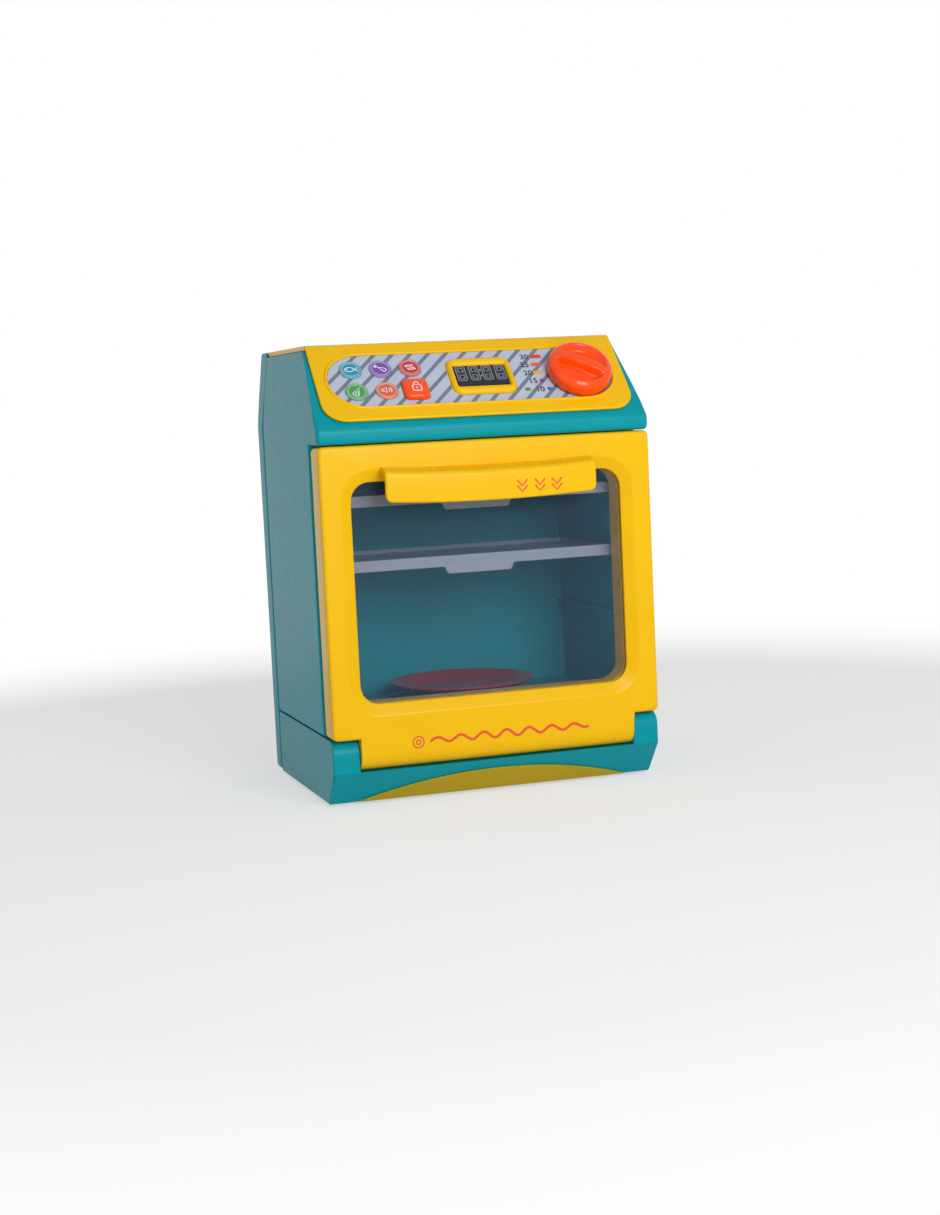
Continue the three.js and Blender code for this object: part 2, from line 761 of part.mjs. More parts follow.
function turntableGear() {
  const wheel = solid(alongZ(gearShape(toothCount, 0), gearLowZ, gearTopZ).translate(0, turntableY, 0));
  const hub = upright(gear.hubRadius, 0, turntableY, gearLowZ, hubTopZ, smallSides);
  const bore = upright(
    post.pinRadius + runGap,
    0,
    turntableY,
    gearLowZ - oven.overrun,
    gearLowZ + post.pinRise + oven.fitGap,
    smallSides,
  );
  return cut(joined(wheel, hub), bore);
}

function turntablePlate() {
  const lowZ = hubTopZ + oven.fitGap;
  const collarInner = gear.hubRadius + runGap;
  const collarOuter = collarInner + plate.collar;
  const rimInner = plateRadius - plate.thickness;
  return turned([
    [0, lowZ],
    [collarInner, lowZ],
    [collarInner, lowZ - plate.collarHeight],
    [collarOuter, lowZ - plate.collarHeight],
    [collarOuter, lowZ],
    [flatRadius, lowZ],
    [plateRadius, lowZ + plate.rimHeight - plate.thickness / 2],
    [plateRadius, lowZ + plate.rimHeight],
    [rimInner, lowZ + plate.rimHeight],
    [flatRadius - plate.thickness / 2, lowZ + plate.thickness],
    [0, lowZ + plate.thickness],
  ], 0, turntableY);
}

function spindlePost() {
  const floorZ = baseFloorZ;
  const columnTopZ = gearLowZ - oven.fitGap;
  return turned([
    [0, floorZ],
    [post.flangeRadius, floorZ],
    [post.flangeRadius, floorZ + post.flangeHeight],
    [post.radius, floorZ + post.flangeHeight],
    [post.radius, columnTopZ],
    [post.pinRadius, columnTopZ],
    [post.pinRadius, columnTopZ + post.pinRise],
    [0, columnTopZ + post.pinRise],
  ], 0, turntableY, smallSides);
}

const motorBossZ = gearLowZ - oven.fitGap;

function drivePinion() {
  const halfTooth = Math.PI / pinionToothCount;
  const toothed = alongZ(gearShape(pinionToothCount, halfTooth), gearLowZ, gearTopZ);
  const wheel = solid(toothed.translate(centreDistance, turntableY, 0));
  const shaft = upright(
    gearMotor.shaftRadius,
    centreDistance,
    turntableY,
    motorTopZ - gearMotor.shaftSeat,
    gearLowZ + gear.face / 2,
    smallSides,
  );
  return joined(wheel, shaft);
}

function gearMotorCase() {
  const lowZ = baseFloorZ;
  const startX = centreDistance - gearMotor.width / 4;
  const shell = box(
    startX,
    turntableY - gearMotor.width / 2,
    lowZ,
    startX + gearMotor.length,
    turntableY + gearMotor.width / 2,
    motorTopZ,
  );
  const boss = upright(
    2 * gearMotor.shaftRadius,
    centreDistance,
    turntableY,
    motorTopZ - oven.wall,
    motorBossZ,
    smallSides,
  );
  const bore = upright(
    gearMotor.shaftRadius + runGap,
    centreDistance,
    turntableY,
    motorTopZ - gearMotor.shaftSeat - oven.fitGap,
    motorBossZ + oven.overrun,
    smallSides,
  );
  return cut(joined(shell, boss), bore);
}

function motorCan() {
  const startX = centreDistance - gearMotor.width / 4 + gearMotor.length + oven.fitGap;
  const midZ = motorTopZ - gearMotor.height / 2;
  const can = crosswise(gearMotor.canRadius, turntableY, midZ, startX, startX + gearMotor.canLength);
  const flat = (side) => box(
    startX - oven.overrun,
    turntableY - gearMotor.width,
    midZ + side * gearMotor.canRadius * canFlatShare - (side < 0 ? gearMotor.canRadius : 0),
    startX + gearMotor.canLength + oven.overrun,
    turntableY + gearMotor.width,
    midZ + side * gearMotor.canRadius * canFlatShare + (side > 0 ? gearMotor.canRadius : 0),
  );
  return cut(can, flat(1), flat(-1));
}

// Door: front moulding, pane and rear frame
function windowShape(grow) {
  return roundedOutline(
    rectangle(
      -windowHalf - grow,
      windowLowZ - grow,
      windowHalf + grow,
      windowHighZ + grow,
    ),
    windowOpening.corner + grow,
    2 * cornerSteps,
  );
}

const doorShellBackY = frontY + door.thickness - door.back - oven.fitGap;

// Handle lip: its face bows outwards and the whole lip sags a little towards the middle
function doorHandle() {
  const half = windowHalf - handle.endInset;
  const lowZ = windowHighZ - handle.drop;
  const rootZ = windowHighZ + handle.rise;
  const outY = frontY - handle.reach + handle.bow;
  const innerY = outY + handle.plate;
  const corners = [
    [frontY + handle.root, rootZ - handle.plate],
    [frontY + handle.root, rootZ],
    [outY + handle.nose, rootZ - handle.plate / 2],
    [outY, rootZ - handle.nose],
    [outY, lowZ],
    [innerY, lowZ],
    [innerY, rootZ - handle.nose - handle.plate / 2],
    [innerY + handle.plate / 2, rootZ - handle.plate],
  ].reverse();
  const lip = alongX(roundedOutline(corners, 0), -half, half, handle.edge, 2 * cornerSteps);
  const place = lip.attributes.position;
  for (let i = 0; i < place.count; i += 1) {
    const middleShare = 1 - (place.getX(i) / half) ** 2;
    place.setZ(i, place.getZ(i) - handle.sag * middleShare);
    if (place.getY(i) < frontY) place.setY(i, place.getY(i) - handle.bow * middleShare);
  }
  return solid(lip.translate(handle.centreX, 0, 0));
}

function doorOuterFrame() {
  const outline = roundedOutline(
    rectangle(-halfWidth, doorStepZ, halfWidth, doorTopZ),
    cornerRound,
  );
  const front = solid(alongY(outline, frontY, doorShellBackY, edgeRound));
  const footShape = new THREE.Shape();
  footShape.moveTo(frontY, doorStepZ + door.skin);
  footShape.lineTo(frontY, hingeZ);
  footShape.absarc(hingeY, hingeZ, door.thickness / 2, Math.PI, 2 * Math.PI, false);
  footShape.lineTo(frontY + door.thickness, doorStepZ);
  footShape.lineTo(doorShellBackY, doorStepZ);
  footShape.lineTo(doorShellBackY, doorStepZ + door.skin);
  const shank = solid(alongX(footShape, -shankHalf, shankHalf));
  const inside = rectangle(
    oven.wall - halfWidth,
    doorStepZ + oven.wall,
    halfWidth - oven.wall,
    doorTopZ - oven.wall,
  );
  const hollow = solid(alongY(roundedOutline(inside, 0), frontY + door.skin, frontY + door.thickness));
  const solidEnd = pin.length - pin.seat + pin.endWall;
  const shankHollow = box(
    solidEnd - shankHalf,
    frontY + door.skin,
    hingeZ - pin.radius,
    shankHalf - solidEnd,
    doorShellBackY - oven.fitGap,
    doorStepZ + door.skin,
  );
  const opening = solid(alongY(windowShape(0), frontY - oven.overrun, frontY + door.thickness));
  const bevelShape = new THREE.ExtrudeGeometry(windowShape(0), {
    depth: oven.overrun,
    bevelEnabled: true,
    bevelThickness: windowOpening.bevelDepth,
    bevelSize: windowOpening.bevelWidth,
    bevelSegments: 1,
  });
  const turn = new THREE.Matrix4().makeBasis(axisX, axisZ, axisY.clone().negate());
  const bevel = solid(bevelShape.applyMatrix4(turn).translate(0, frontY, 0));
  const boreEnd = shankHalf - pin.length + pin.seat;
  const boreRight = crosswise(pin.radius + pin.clearance, hingeY, hingeZ, boreEnd - oven.fitGap, halfWidth);
  const bores = joined(boreRight, boreRight.mirror([1, 0, 0]));
  const body = cut(joined(front, shank), hollow, shankHollow, opening, bevel, bores);
  return joined(body, doorHandle());
}

const paneFrontY = frontY + door.skin + oven.fitGap;

function doorWindow() {
  return solid(alongY(windowShape(pane.overlap), paneFrontY, paneFrontY + pane.thickness));
}

function doorInnerFrame() {
  const backPlaneY = frontY + door.thickness;
  const outline = roundedOutline(
    rectangle(
      edgeRound / 2 - halfWidth,
      doorStepZ + oven.fitGap,
      halfWidth - edgeRound / 2,
      doorTopZ - edgeRound / 2,
    ),
    edgeRound,
  );
  const plateBody = solid(alongY(outline, backPlaneY - door.back, backPlaneY));
  const collarFrontY = paneFrontY + pane.thickness + oven.fitGap;
  const collar = solid(alongY(windowShape(oven.wall), collarFrontY, backPlaneY - door.back / 2));
  const opening = solid(alongY(windowShape(0), frontY, backPlaneY + oven.overrun));
  const catchZ = doorTopZ - nub.belowTop;
  const catchNub = box(
    -nub.halfWidth,
    backPlaneY - door.back / 2,
    catchZ - nub.height,
    nub.halfWidth,
    backPlaneY + nub.reach,
    catchZ,
  );
  return joined(cut(joined(plateBody, collar), opening), catchNub);
}

function hingePin(side) {
  const innerX = shankHalf - pin.length + pin.seat;
  const near = side * innerX;
  const far = side * (innerX + pin.length - oven.fitGap);
  return crosswise(pin.radius, hingeY, hingeZ, Math.min(near, far), Math.max(near, far));
}

// Panel pieces, in the frame of the slope
function panelStadium(grow, fromZ, toZ) {
  const shape = roundedOutline(
    rectangle(
      label.centreX - labelHalf - grow,
      -labelHalfHeight - grow,
      label.centreX + labelHalf + grow,
      labelHalfHeight + grow,
    ),
    labelHalfHeight + grow - oven.fitGap / 10,
    2 * cornerSteps,
  );
  return solid(alongZ(shape, fromZ, toZ));
}

// Round keys fill the upper row and the lower row up to the power button
const keyPlaces = [];
for (let column = 0; column < keyColumns; column += 1) {
  keyPlaces.push([keysX + column * keyPitch, keyRow]);
}
for (let column = 0; column < keyColumns - 1; column += 1) {
  keyPlaces.push([keysX + column * keyPitch, -keyRow]);
}
const powerPlace = [powerX, -keyRow];

function panelHoles(fromZ, toZ) {
  const holes = keyPlaces.map(([x, y]) => upright(key.radius + runGap, x, y, fromZ, toZ, roundSides));
  holes.push(squareBar(power.half + runGap, fromZ, toZ));
  holes.push(upright(knobStem.radius + knobStem.clearance, knobX, knobV, fromZ, toZ, smallSides));
  return holes;
}

function squareBar(half, fromZ, toZ, bevel = 0) {
  const [x, y] = powerPlace;
  const shape = roundedOutline(rectangle(x - half, y - half, x + half, y + half), power.corner);
  return solid(alongZ(shape, fromZ, toZ, bevel));
}

function displayBlock(halfX, halfY, corner, fromZ, toZ, bevel = 0) {
  const shape = roundedOutline(
    rectangle(displayX - halfX, -halfY, displayX + halfX, halfY),
    corner,
  );
  return solid(alongZ(shape, fromZ, toZ, bevel));
}

function controlFascia() {
  const lowV = -slopeLength / 2 + fascia.lowMargin - panelLift;
  const highV = slopeLength / 2 + head.roofSink - panelLift;
  const slopeShape = roundedOutline([
    [-fasciaLowHalf, lowV],
    [fasciaLowHalf, lowV],
    [fasciaTopHalf, highV],
    [-fasciaTopHalf, highV],
  ], [fascia.corner, fascia.corner, 0, 0], 2 * cornerSteps);
  const slopePlate = onSlope(solid(alongZ(slopeShape, -fascia.thickness, 0)));
  const ridgeY = frontY + head.slopeRun;
  const roofLowZ = roofZ + oven.fitGap;
  const roofEndY = coverFrontY - oven.fitGap;
  const roofFrontY = ridgeY - head.roofSink;
  const roofPlate = box(-fasciaTopHalf, roofFrontY, roofLowZ, fasciaTopHalf, roofEndY, oven.height);
  const roofHole = solid(alongZ(
    roundedOutline(
      rectangle(
        fascia.railWidth - fasciaTopHalf,
        ridgeY + fascia.stripWidth,
        fasciaTopHalf - fascia.railWidth,
        coverFrontY + oven.overrun,
      ),
      [fascia.corner / 2, fascia.corner / 2, 0, 0],
    ),
    roofZ - oven.overrun,
    oven.height + oven.overrun,
  ));
  const envelope = solid(alongX(
    roundedOutline(
      headCorners(0, oven.height, coverFrontY, doorStepZ),
      [0, 0, 0, head.ridgeRound, 0, 0, 0],
    ),
    -halfWidth,
    halfWidth,
  ));
  const skin = cut(joined(slopePlate, roofPlate), roofHole).intersect(envelope);
  const bedZ = -label.sink - label.thickness - oven.fitGap;
  const bed = panelStadium(oven.fitGap, bedZ, oven.overrun);
  const sunk = skin.subtract(onSlope(bed));
  const bezel = displayBlock(
    display.halfWidth + display.bezelSide,
    display.halfHeight + display.bezelEnd,
    display.bezelRound,
    -fascia.thickness,
    display.bezelRise,
  );
  const { halfWidth: screenHalf, halfHeight: screenHalfHeight } = display;
  const screenHole = displayBlock(screenHalf, screenHalfHeight, edgeRound / 2, -oven.overrun, oven.overrun);
  const bosses = [];
  for (const x of [-boardHalf + board.bossRadius, boardHalf - board.bossRadius]) {
    for (const y of [-boardHalfHeight + board.bossRadius, boardHalfHeight - board.bossRadius]) {
      const bossTopZ = bedZ - fascia.thickness / 4;
      bosses.push(upright(board.bossRadius, x, y, oven.fitGap - board.drop, bossTopZ, smallSides));
    }
  }
  const withPieces = joined(sunk, onSlope(bezel), ...bosses.map(onSlope));
  return cut(withPieces, onSlope(screenHole), ...panelHoles(-oven.overrun, oven.overrun).map(onSlope));
}

function labelPlate() {
  const lowZ = -label.sink - label.thickness;
  const sheet = panelStadium(0, lowZ, -label.sink);
  const bezelHole = displayBlock(
    display.halfWidth + display.bezelSide + runGap,
    display.halfHeight + display.bezelEnd + runGap,
    display.bezelRound,
    -oven.overrun,
    oven.overrun,
  );
  return cut(sheet, bezelHole, ...panelHoles(-oven.overrun, oven.overrun));
}

function roundKey([x, y]) {
  const flangeTopZ = -fascia.thickness - oven.fitGap;
  const cap = upright(key.radius, x, y, flangeTopZ - key.flangeHeight / 2, key.rise);
  const flange = upright(key.radius + key.flange, x, y, flangeTopZ - key.flangeHeight, flangeTopZ);
  const stem = upright(
    key.stemRadius,
    x,
    y,
    switchTopZ + key.travel + oven.fitGap,
    flangeTopZ - key.flangeHeight / 2,
    smallSides,
  );
  return joined(cap, flange, stem);
}

function powerButton() {
  const flangeTopZ = -fascia.thickness - oven.fitGap;
  const cap = squareBar(power.half, flangeTopZ - key.flangeHeight / 2, power.rise, edgeRound / 2);
  const flange = squareBar(power.half + key.flange, flangeTopZ - key.flangeHeight, flangeTopZ);
  const [x, y] = powerPlace;
  const stem = upright(
    key.stemRadius,
    x,
    y,
    Math.min(switchTopZ + power.travel + oven.fitGap, flangeTopZ - key.flangeHeight),
    flangeTopZ,
    smallSides,
  );
  return joined(cap, flange, stem);
}

function keySwitchAt([x, y]) {
  const lowZ = boardTopZ + oven.fitGap;
  const bodyHeight = keySwitch.height - key.travel - oven.fitGap;
  const half = keySwitch.half;
  const body = box(x - half, y - half, lowZ, x + half, y + half, lowZ + bodyHeight);
  const plunger = upright(half / 2, x, y, lowZ + bodyHeight / 2, switchTopZ, smallSides);
  return joined(body, plunger);
}

function timerKnob() {
  const profile = [[0, knob.rise]];
  for (const [radiusShare, heightShare] of knobShares) {
    profile.push([radiusShare * knob.radius, knob.rise + heightShare * knob.height]);
  }
  profile.push([0, knob.rise + knob.height]);
  const dome = turned(profile);
  const topZ = knob.rise + knob.height;
  const disc = upright(knob.radius - knob.scoopRim, 0, 0, topZ - knob.scoopDepth, topZ + oven.overrun);
  const bar = box(-knob.radius, -knob.gripHalf, 0, knob.radius, knob.gripHalf, topZ + 2 * oven.overrun);
  const stemLowZ = boardTopZ + knobStem.boardGap;
  const stem = upright(knobStem.radius, 0, 0, stemLowZ, knob.rise + knob.height / 4, smallSides);
  const shaped = joined(cut(dome, cut(disc, bar)), stem);
  const turnBy = new THREE.Matrix4().makeRotationZ(THREE.MathUtils.degToRad(knob.turn));
  return solid(geometryOf(shaped).applyMatrix4(turnBy).translate(knobX, knobV, 0));
}

function rotarySwitch() {
  const lowZ = boardTopZ + oven.fitGap;
  const body = box(
    knobX - rotary.half,
    knobV - rotary.half,
    lowZ,
    knobX + rotary.half,
    knobV + rotary.half,
    lowZ + rotary.height,
  );
  const boreLowZ = boardTopZ + knobStem.boardGap - oven.fitGap;
  const bore = upright(knobStem.radius + runGap, knobX, knobV, boreLowZ, oven.overrun, smallSides);
  return body.subtract(bore);
}

function controlBoard() {
  const lowZ = boardTopZ - board.thickness;
  return box(-boardHalf, -boardHalfHeight, lowZ, boardHalf, boardHalfHeight, boardTopZ);
}

function displayModule() {
  const lowZ = boardTopZ + oven.fitGap;
  return displayBlock(
    display.halfWidth + display.moduleSide,
    display.halfHeight + display.moduleEnd,
    edgeRound / 2,
    lowZ,
    lowZ + display.moduleHeight,
  );
}

function displayLens() {
  const lowZ = boardTopZ + 2 * oven.fitGap + display.moduleHeight;
  return displayBlock(
    display.halfWidth - runGap,
    display.halfHeight - runGap,
    edgeRound / 2,
    lowZ,
    display.lensRise,
  );
}

// Battery compartment
function batteryBox() {
  const innerCoverY = backY - oven.wall - oven.fitGap;
  const shell = box(
    -cellRoomHalf - battery.wall,
    batteryBackY - cellRoomDepth - battery.wall,
    battery.lowZ - battery.wall,
    cellRoomHalf + battery.wall,
    batteryBackY,
    cellRoomHigh + battery.wall,
  );
  const flange = box(
    -hatchHalfWidth - battery.ledge,
    innerCoverY - battery.wall,
    hatchLowZ - battery.ledge,
    hatchHalfWidth + battery.ledge,
    innerCoverY,
    hatchHighZ + battery.ledge,
  );
  const room = box(
    -cellRoomHalf,
    batteryBackY - cellRoomDepth,
    battery.lowZ,
    cellRoomHalf,
    batteryBackY + oven.overrun,
    cellRoomHigh,
  );
  const screwBore = lengthwise(
    screw.radius + runGap,
    0,
    hatchHighZ - hatch.screwDrop,
    innerCoverY - battery.wall - oven.overrun,
    backY,
  );
  return cut(joined(shell, flange), room, screwBore);
}

function batteryHatch() {
  const lid = solid(alongY(
    roundedOutline(rectangle(-hatchHalfWidth, hatchLowZ, hatchHalfWidth, hatchHighZ), edgeRound),
    backY - hatch.thickness,
    backY,
  ));
  const z = hatchHighZ - hatch.screwDrop;
  const screwHole = lengthwise(screw.radius + runGap, 0, z, coverFrontY, backY + oven.overrun);
  const headRoom = lengthwise(screw.headRadius + runGap, 0, z, backY - hatch.recess, backY + oven.overrun);
  return cut(lid, screwHole, headRoom);
}

function hatchScrew() {
  const z = hatchHighZ - hatch.screwDrop;
  const seatY = backY - hatch.recess + oven.fitGap;
  const crownY = backY - oven.fitGap / 2;
  const shank = lengthwise(screw.radius, 0, z, backY - hatch.thickness - battery.ledge, seatY + oven.fitGap);
  const crown = lengthwise(screw.headRadius, 0, z, seatY, crownY);
  return cut(joined(shank, crown), screwSlot(0, z, crownY, screw.slotDepth / 2));
}

function batteryCell(index) {
  const z = battery.lowZ + cellPitch * (index + 0.5);
  const y = batteryBackY - cellRoomDepth / 2;
  const direction = index % 2 ? -1 : 1;
  const can = crosswise(battery.radius, y, z, -battery.length / 2, battery.length / 2);
  const tipStart = direction * battery.length / 2;
  const tipEnd = direction * (battery.length / 2 + battery.sideRoom / 2);
  const tip = crosswise(battery.tipRadius, y, z, Math.min(tipStart, tipEnd), Math.max(tipStart, tipEnd));
  return joined(can, tip);
}

function contactStrip(side) {
  const y = batteryBackY - cellRoomDepth / 2;
  const outerX = side * (cellRoomHalf - contact.gap);
  const innerX = outerX - side * contact.thickness;
  return box(
    Math.min(innerX, outerX),
    y - contact.halfWidth,
    battery.lowZ + battery.wall,
    Math.max(innerX, outerX),
    y + contact.halfWidth,
    cellRoomHigh - battery.wall,
  );
}

function speakerUnit() {
  const faceY = backY - oven.wall - oven.fitGap;
  const profile = [
    [0, 0],
    [speaker.radius, 0],
    [speaker.radius, -speaker.rimHeight],
    [speaker.magnetRadius, -speaker.depth / 2],
    [speaker.magnetRadius, -speaker.depth],
    [0, -speaker.depth],
  ].reverse();
  const unit = new THREE.LatheGeometry(profile.map(([r, z]) => new THREE.Vector2(r, z)), roundSides);
  return solid(unit.translate(0, faceY, speakerZ));
}

// Lamp: lens in the ceiling of the cavity, a small board and its diode over it
const lampTopZ = cavityCeilingZ + cavity.wall + oven.fitGap;

function lampLens() {
  return turned([
    [0, cavityCeilingZ - lamp.rise],
    [lamp.noseRadius, cavityCeilingZ - lamp.noseRise],
    [lamp.radius, cavityCeilingZ],
    [lamp.radius, lampTopZ],
    [lamp.radius + lamp.flange, lampTopZ],
    [lamp.radius + lamp.flange, lampTopZ + lamp.flangeHeight],
    [0, lampTopZ + lamp.flangeHeight],
  ], 0, turntableY, smallSides);
}

function lampBoard() {
  const lowZ = lampTopZ + lamp.flangeHeight + oven.fitGap;
  return box(
    -lamp.boardHalf,
    turntableY - lamp.boardHalf,
    lowZ,
    lamp.boardHalf,
    turntableY + lamp.boardHalf,
    lowZ + lamp.boardThickness,
  );
}

function lampDiode() {
  const lowZ = lampTopZ + lamp.flangeHeight + lamp.boardThickness + 2 * oven.fitGap;
  return upright(lamp.ledRadius, 0, turntableY, lowZ, lowZ + lamp.ledHeight, smallSides);
}

// Casing
add('outer_housing', outerHousing(), finish.teal);
add('rear_cover', rearCover(), finish.teal);
add('base_tray', baseTray(), finish.teal);
add('base_arc_trim', baseArcTrim(), finish.yellow);
add('cavity_liner', cavityLiner(), finish.teal);
['left', 'right'].forEach((side, i) => {
  ['low', 'high'].forEach((level, k) => {
    add(`cover_screw_${level}_${side}`, coverScrew((2 * i - 1) * screwX, screwHeights[k]), finish.metal);
  });
});
const footX = halfWidth - foot.inset;
['front', 'back'].forEach((end, k) => {
  ['left', 'right'].forEach((side, i) => {
    const y = k ? coverFrontY - foot.inset : kickFootY + foot.inset;
    add(`foot_${end}_${side}`, upright(foot.radius, (2 * i - 1) * footX, y, 0, foot.height), finish.black);
  });
});

// Door
add('door_outer_frame', doorOuterFrame(), finish.yellow);
add('door_window', doorWindow(), finish.smoke);
add('door_inner_frame', doorInnerFrame(), finish.yellow);
add('hinge_pin_left', hingePin(-1), finish.metal);
add('hinge_pin_right', hingePin(1), finish.metal);

// Cavity fittings
add('lower_tray', trayAt(railDrops[1]), finish.tray);
add('upper_tray', trayAt(railDrops[2]), finish.tray);
add('turntable_plate', turntablePlate(), finish.darkRed);
add('turntable_gear', turntableGear(), finish.white);
add('spindle_post', spindlePost(), finish.white);
add('drive_pinion', drivePinion(), finish.white);
add('gear_motor_case', gearMotorCase(), finish.white);
add('motor_can', motorCan(), finish.metal);
add('lamp_lens', lampLens(), finish.white);
add('lamp_board', lampBoard(), finish.board);
add('lamp_diode', lampDiode(), finish.white);

// Controls
add('control_fascia', controlFascia(), finish.yellow);
add('label_plate', labelPlate(), finish.label, controls);
add('display_lens', displayLens(), finish.screen, controls);
add('display_module', displayModule(), finish.black, controls);
add('control_board', controlBoard(), finish.board, controls);
add('rotary_switch', rotarySwitch(), finish.black, controls);
add('timer_knob', timerKnob(), finish.orange, controls);
['blue', 'purple', 'red', 'green', 'amber'].forEach((colour, i) => {
  add(`key_${colour}`, roundKey(keyPlaces[i]), finish[`${colour}Key`], controls);
  add(`key_switch_${colour}`, keySwitchAt(keyPlaces[i]), finish.black, controls);
});
add('power_button', powerButton(), finish.orange, controls);
add('key_switch_power', keySwitchAt(powerPlace), finish.black, controls);

// Power and sound
add('battery_box', batteryBox(), finish.black);
add('battery_hatch', batteryHatch(), finish.teal);
add('hatch_screw', hatchScrew(), finish.metal);
for (let i = 0; i < cellCount; i += 1) {
  add(`battery_cell_${i + 1}`, batteryCell(i), finish.metal);
}
add('contact_strip_left', contactStrip(-1), finish.metal);
add('contact_strip_right', contactStrip(1), finish.metal);
add('speaker', speakerUnit(), finish.black);

export default root;
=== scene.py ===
"""Finished look of a pretend-play oven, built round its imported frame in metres, front towards -Y."""

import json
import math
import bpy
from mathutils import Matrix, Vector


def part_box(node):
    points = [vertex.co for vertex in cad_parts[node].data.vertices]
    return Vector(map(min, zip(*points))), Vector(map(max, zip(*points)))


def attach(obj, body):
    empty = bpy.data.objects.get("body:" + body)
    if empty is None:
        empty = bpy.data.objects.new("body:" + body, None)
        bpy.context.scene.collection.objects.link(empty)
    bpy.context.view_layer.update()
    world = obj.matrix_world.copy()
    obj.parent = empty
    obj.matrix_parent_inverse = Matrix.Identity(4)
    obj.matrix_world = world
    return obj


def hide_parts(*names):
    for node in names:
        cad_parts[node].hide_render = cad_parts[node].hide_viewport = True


bl_info = {
    "name": "Play Oven",
    "version": (1, 0, 0),
    "blender": (4, 5, 0),
    "location": "View3D > Sidebar > Play Oven",
    "description": "Builds the mouldings, print, keys, knob and finishes of a pretend-play oven",
    "category": "Add Mesh",
}

import bmesh
import bpy
import numpy as np
from bpy.props import FloatProperty, FloatVectorProperty, IntProperty, PointerProperty
from mathutils import Matrix, Vector

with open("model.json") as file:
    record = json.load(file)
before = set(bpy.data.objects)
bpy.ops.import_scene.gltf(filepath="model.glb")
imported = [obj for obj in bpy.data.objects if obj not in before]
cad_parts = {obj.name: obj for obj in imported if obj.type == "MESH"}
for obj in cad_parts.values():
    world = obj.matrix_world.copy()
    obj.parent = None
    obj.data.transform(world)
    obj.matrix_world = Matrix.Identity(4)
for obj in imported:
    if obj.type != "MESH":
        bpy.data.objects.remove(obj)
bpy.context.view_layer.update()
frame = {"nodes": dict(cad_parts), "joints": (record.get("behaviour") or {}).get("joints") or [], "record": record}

MM = 0.001
BODY_OF = {node: body for body, nodes in frame["record"]["behaviour"]["bodies"].items() for node in nodes}
SLOT_OF = {part["node"]: part["material_slot"] for part in frame["record"]["subparts"]}


# Places read from the frame


def joint(name):
    """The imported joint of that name."""
    return next(j for j in frame["joints"] if j["name"] == name)


def points_of(mesh):
    """A mesh's vertices as rows by 3."""
    points = np.empty(len(mesh.vertices) * 3)
    mesh.vertices.foreach_get("co", points)
    return points.reshape(-1, 3)


# Panel frame: across along X, up the slope and out of it
panel_normal = np.array(joint("knob_turn")["axis"])
panel_normal /= np.linalg.norm(panel_normal)
panel_up = np.array([0.0, panel_normal[2], -panel_normal[1]])
knob_centre = np.array(joint("knob_turn")["pos_m"])
label_up = points_of(frame["nodes"]["label_plate"].data) @ panel_up
label_middle = (label_up.min() + label_up.max()) / 2
panel_origin = knob_centre * [0, 1, 1] + panel_up * (label_middle - knob_centre @ panel_up)

# Door: its low edge is rounded about the hinge, so the front is as far before it as the edge is under it
hinge = np.array(joint("door_hinge")["pos_m"])
door_low = np.array(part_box("door_outer_frame")[0])
front_y = hinge[1] - (hinge[2] - door_low[2])

# Handle: the door's points that stand out by more than half as far as any
door_points = points_of(frame["nodes"]["door_outer_frame"].data)
grip_across = door_points[door_points[:, 1] < (front_y + door_low[1]) / 2][:, 0]
grip_middle = (grip_across.min() + grip_across.max()) / 2
grip_half = (grip_across.max() - grip_across.min()) / 2

# Forms of the finish, as the photograph shows them
HANDLE_BOW = 1.0 * MM
ARC_GROWTH = 0.42
ARC_LIFT = 0.9 * MM
KNOB_TURN = math.radians(148)

# Rounding of small pieces
FINE_EDGE = 0.3 * MM


def on_panel(across, up, out):
    """Points of the panel frame in the oven's frame: the origin plus each measure along its own axis."""
    across, up, out = np.broadcast_arrays(across, up, out)
    sideways = across[..., None] * [1, 0, 0]
    return panel_origin + sideways + up[..., None] * panel_up + out[..., None] * panel_normal


def on_front(across, up, out):
    """Points over the door's front plane, out towards -Y."""
    across, up, out = np.broadcast_arrays(across, up, out)
    return np.stack([across, front_y - out, up], -1)


def on_handle(across, up, out):
    """Points over the handle's bowed face: the face falls back by the bow towards its two ends."""
    across, up, out = np.broadcast_arrays(across, up, out)
    away = (across - grip_middle) / grip_half
    return np.stack([across, door_low[1] + HANDLE_BOW * away**2 - out, up], -1)


def in_panel(points):
    """Points of the oven's frame in the panel frame."""
    away = points - panel_origin
    return np.stack([away[:, 0], away @ panel_up, away @ panel_normal], 1)


def panel_place(name):
    """Middle and half sizes of a CAD node in the panel frame, as (across, up) pairs, with its highest out."""
    local = in_panel(points_of(frame["nodes"][name].data))
    low, high = local.min(0), local.max(0)
    return (low + high)[:2] / 2, (high - low)[:2] / 2, high[2]


def lifted(place, base):
    """A placing function whose heights start from base."""
    return lambda across, up, out: place(across, up, out + base)


# Colours and sizes a user would change


def srgb(code):
    """Linear colour of an sRGB hex value."""
    channels = [int(code[i : i + 2], 16) / 255 for i in (1, 3, 5)]
    return tuple(c / 12.92 if c <= 0.04045 else ((c + 0.055) / 1.055) ** 2.4 for c in channels)


def colour(label, about, code):
    """A colour property whose default is an sRGB hex value."""
    return FloatVectorProperty(
        name=label, description=about, default=srgb(code), subtype="COLOR", min=0, max=1
    )


def length(label, about, millimetres):
    """A length property given in millimetres and kept in metres."""
    return FloatProperty(name=label, description=about, default=millimetres * MM, unit="LENGTH", precision=5)


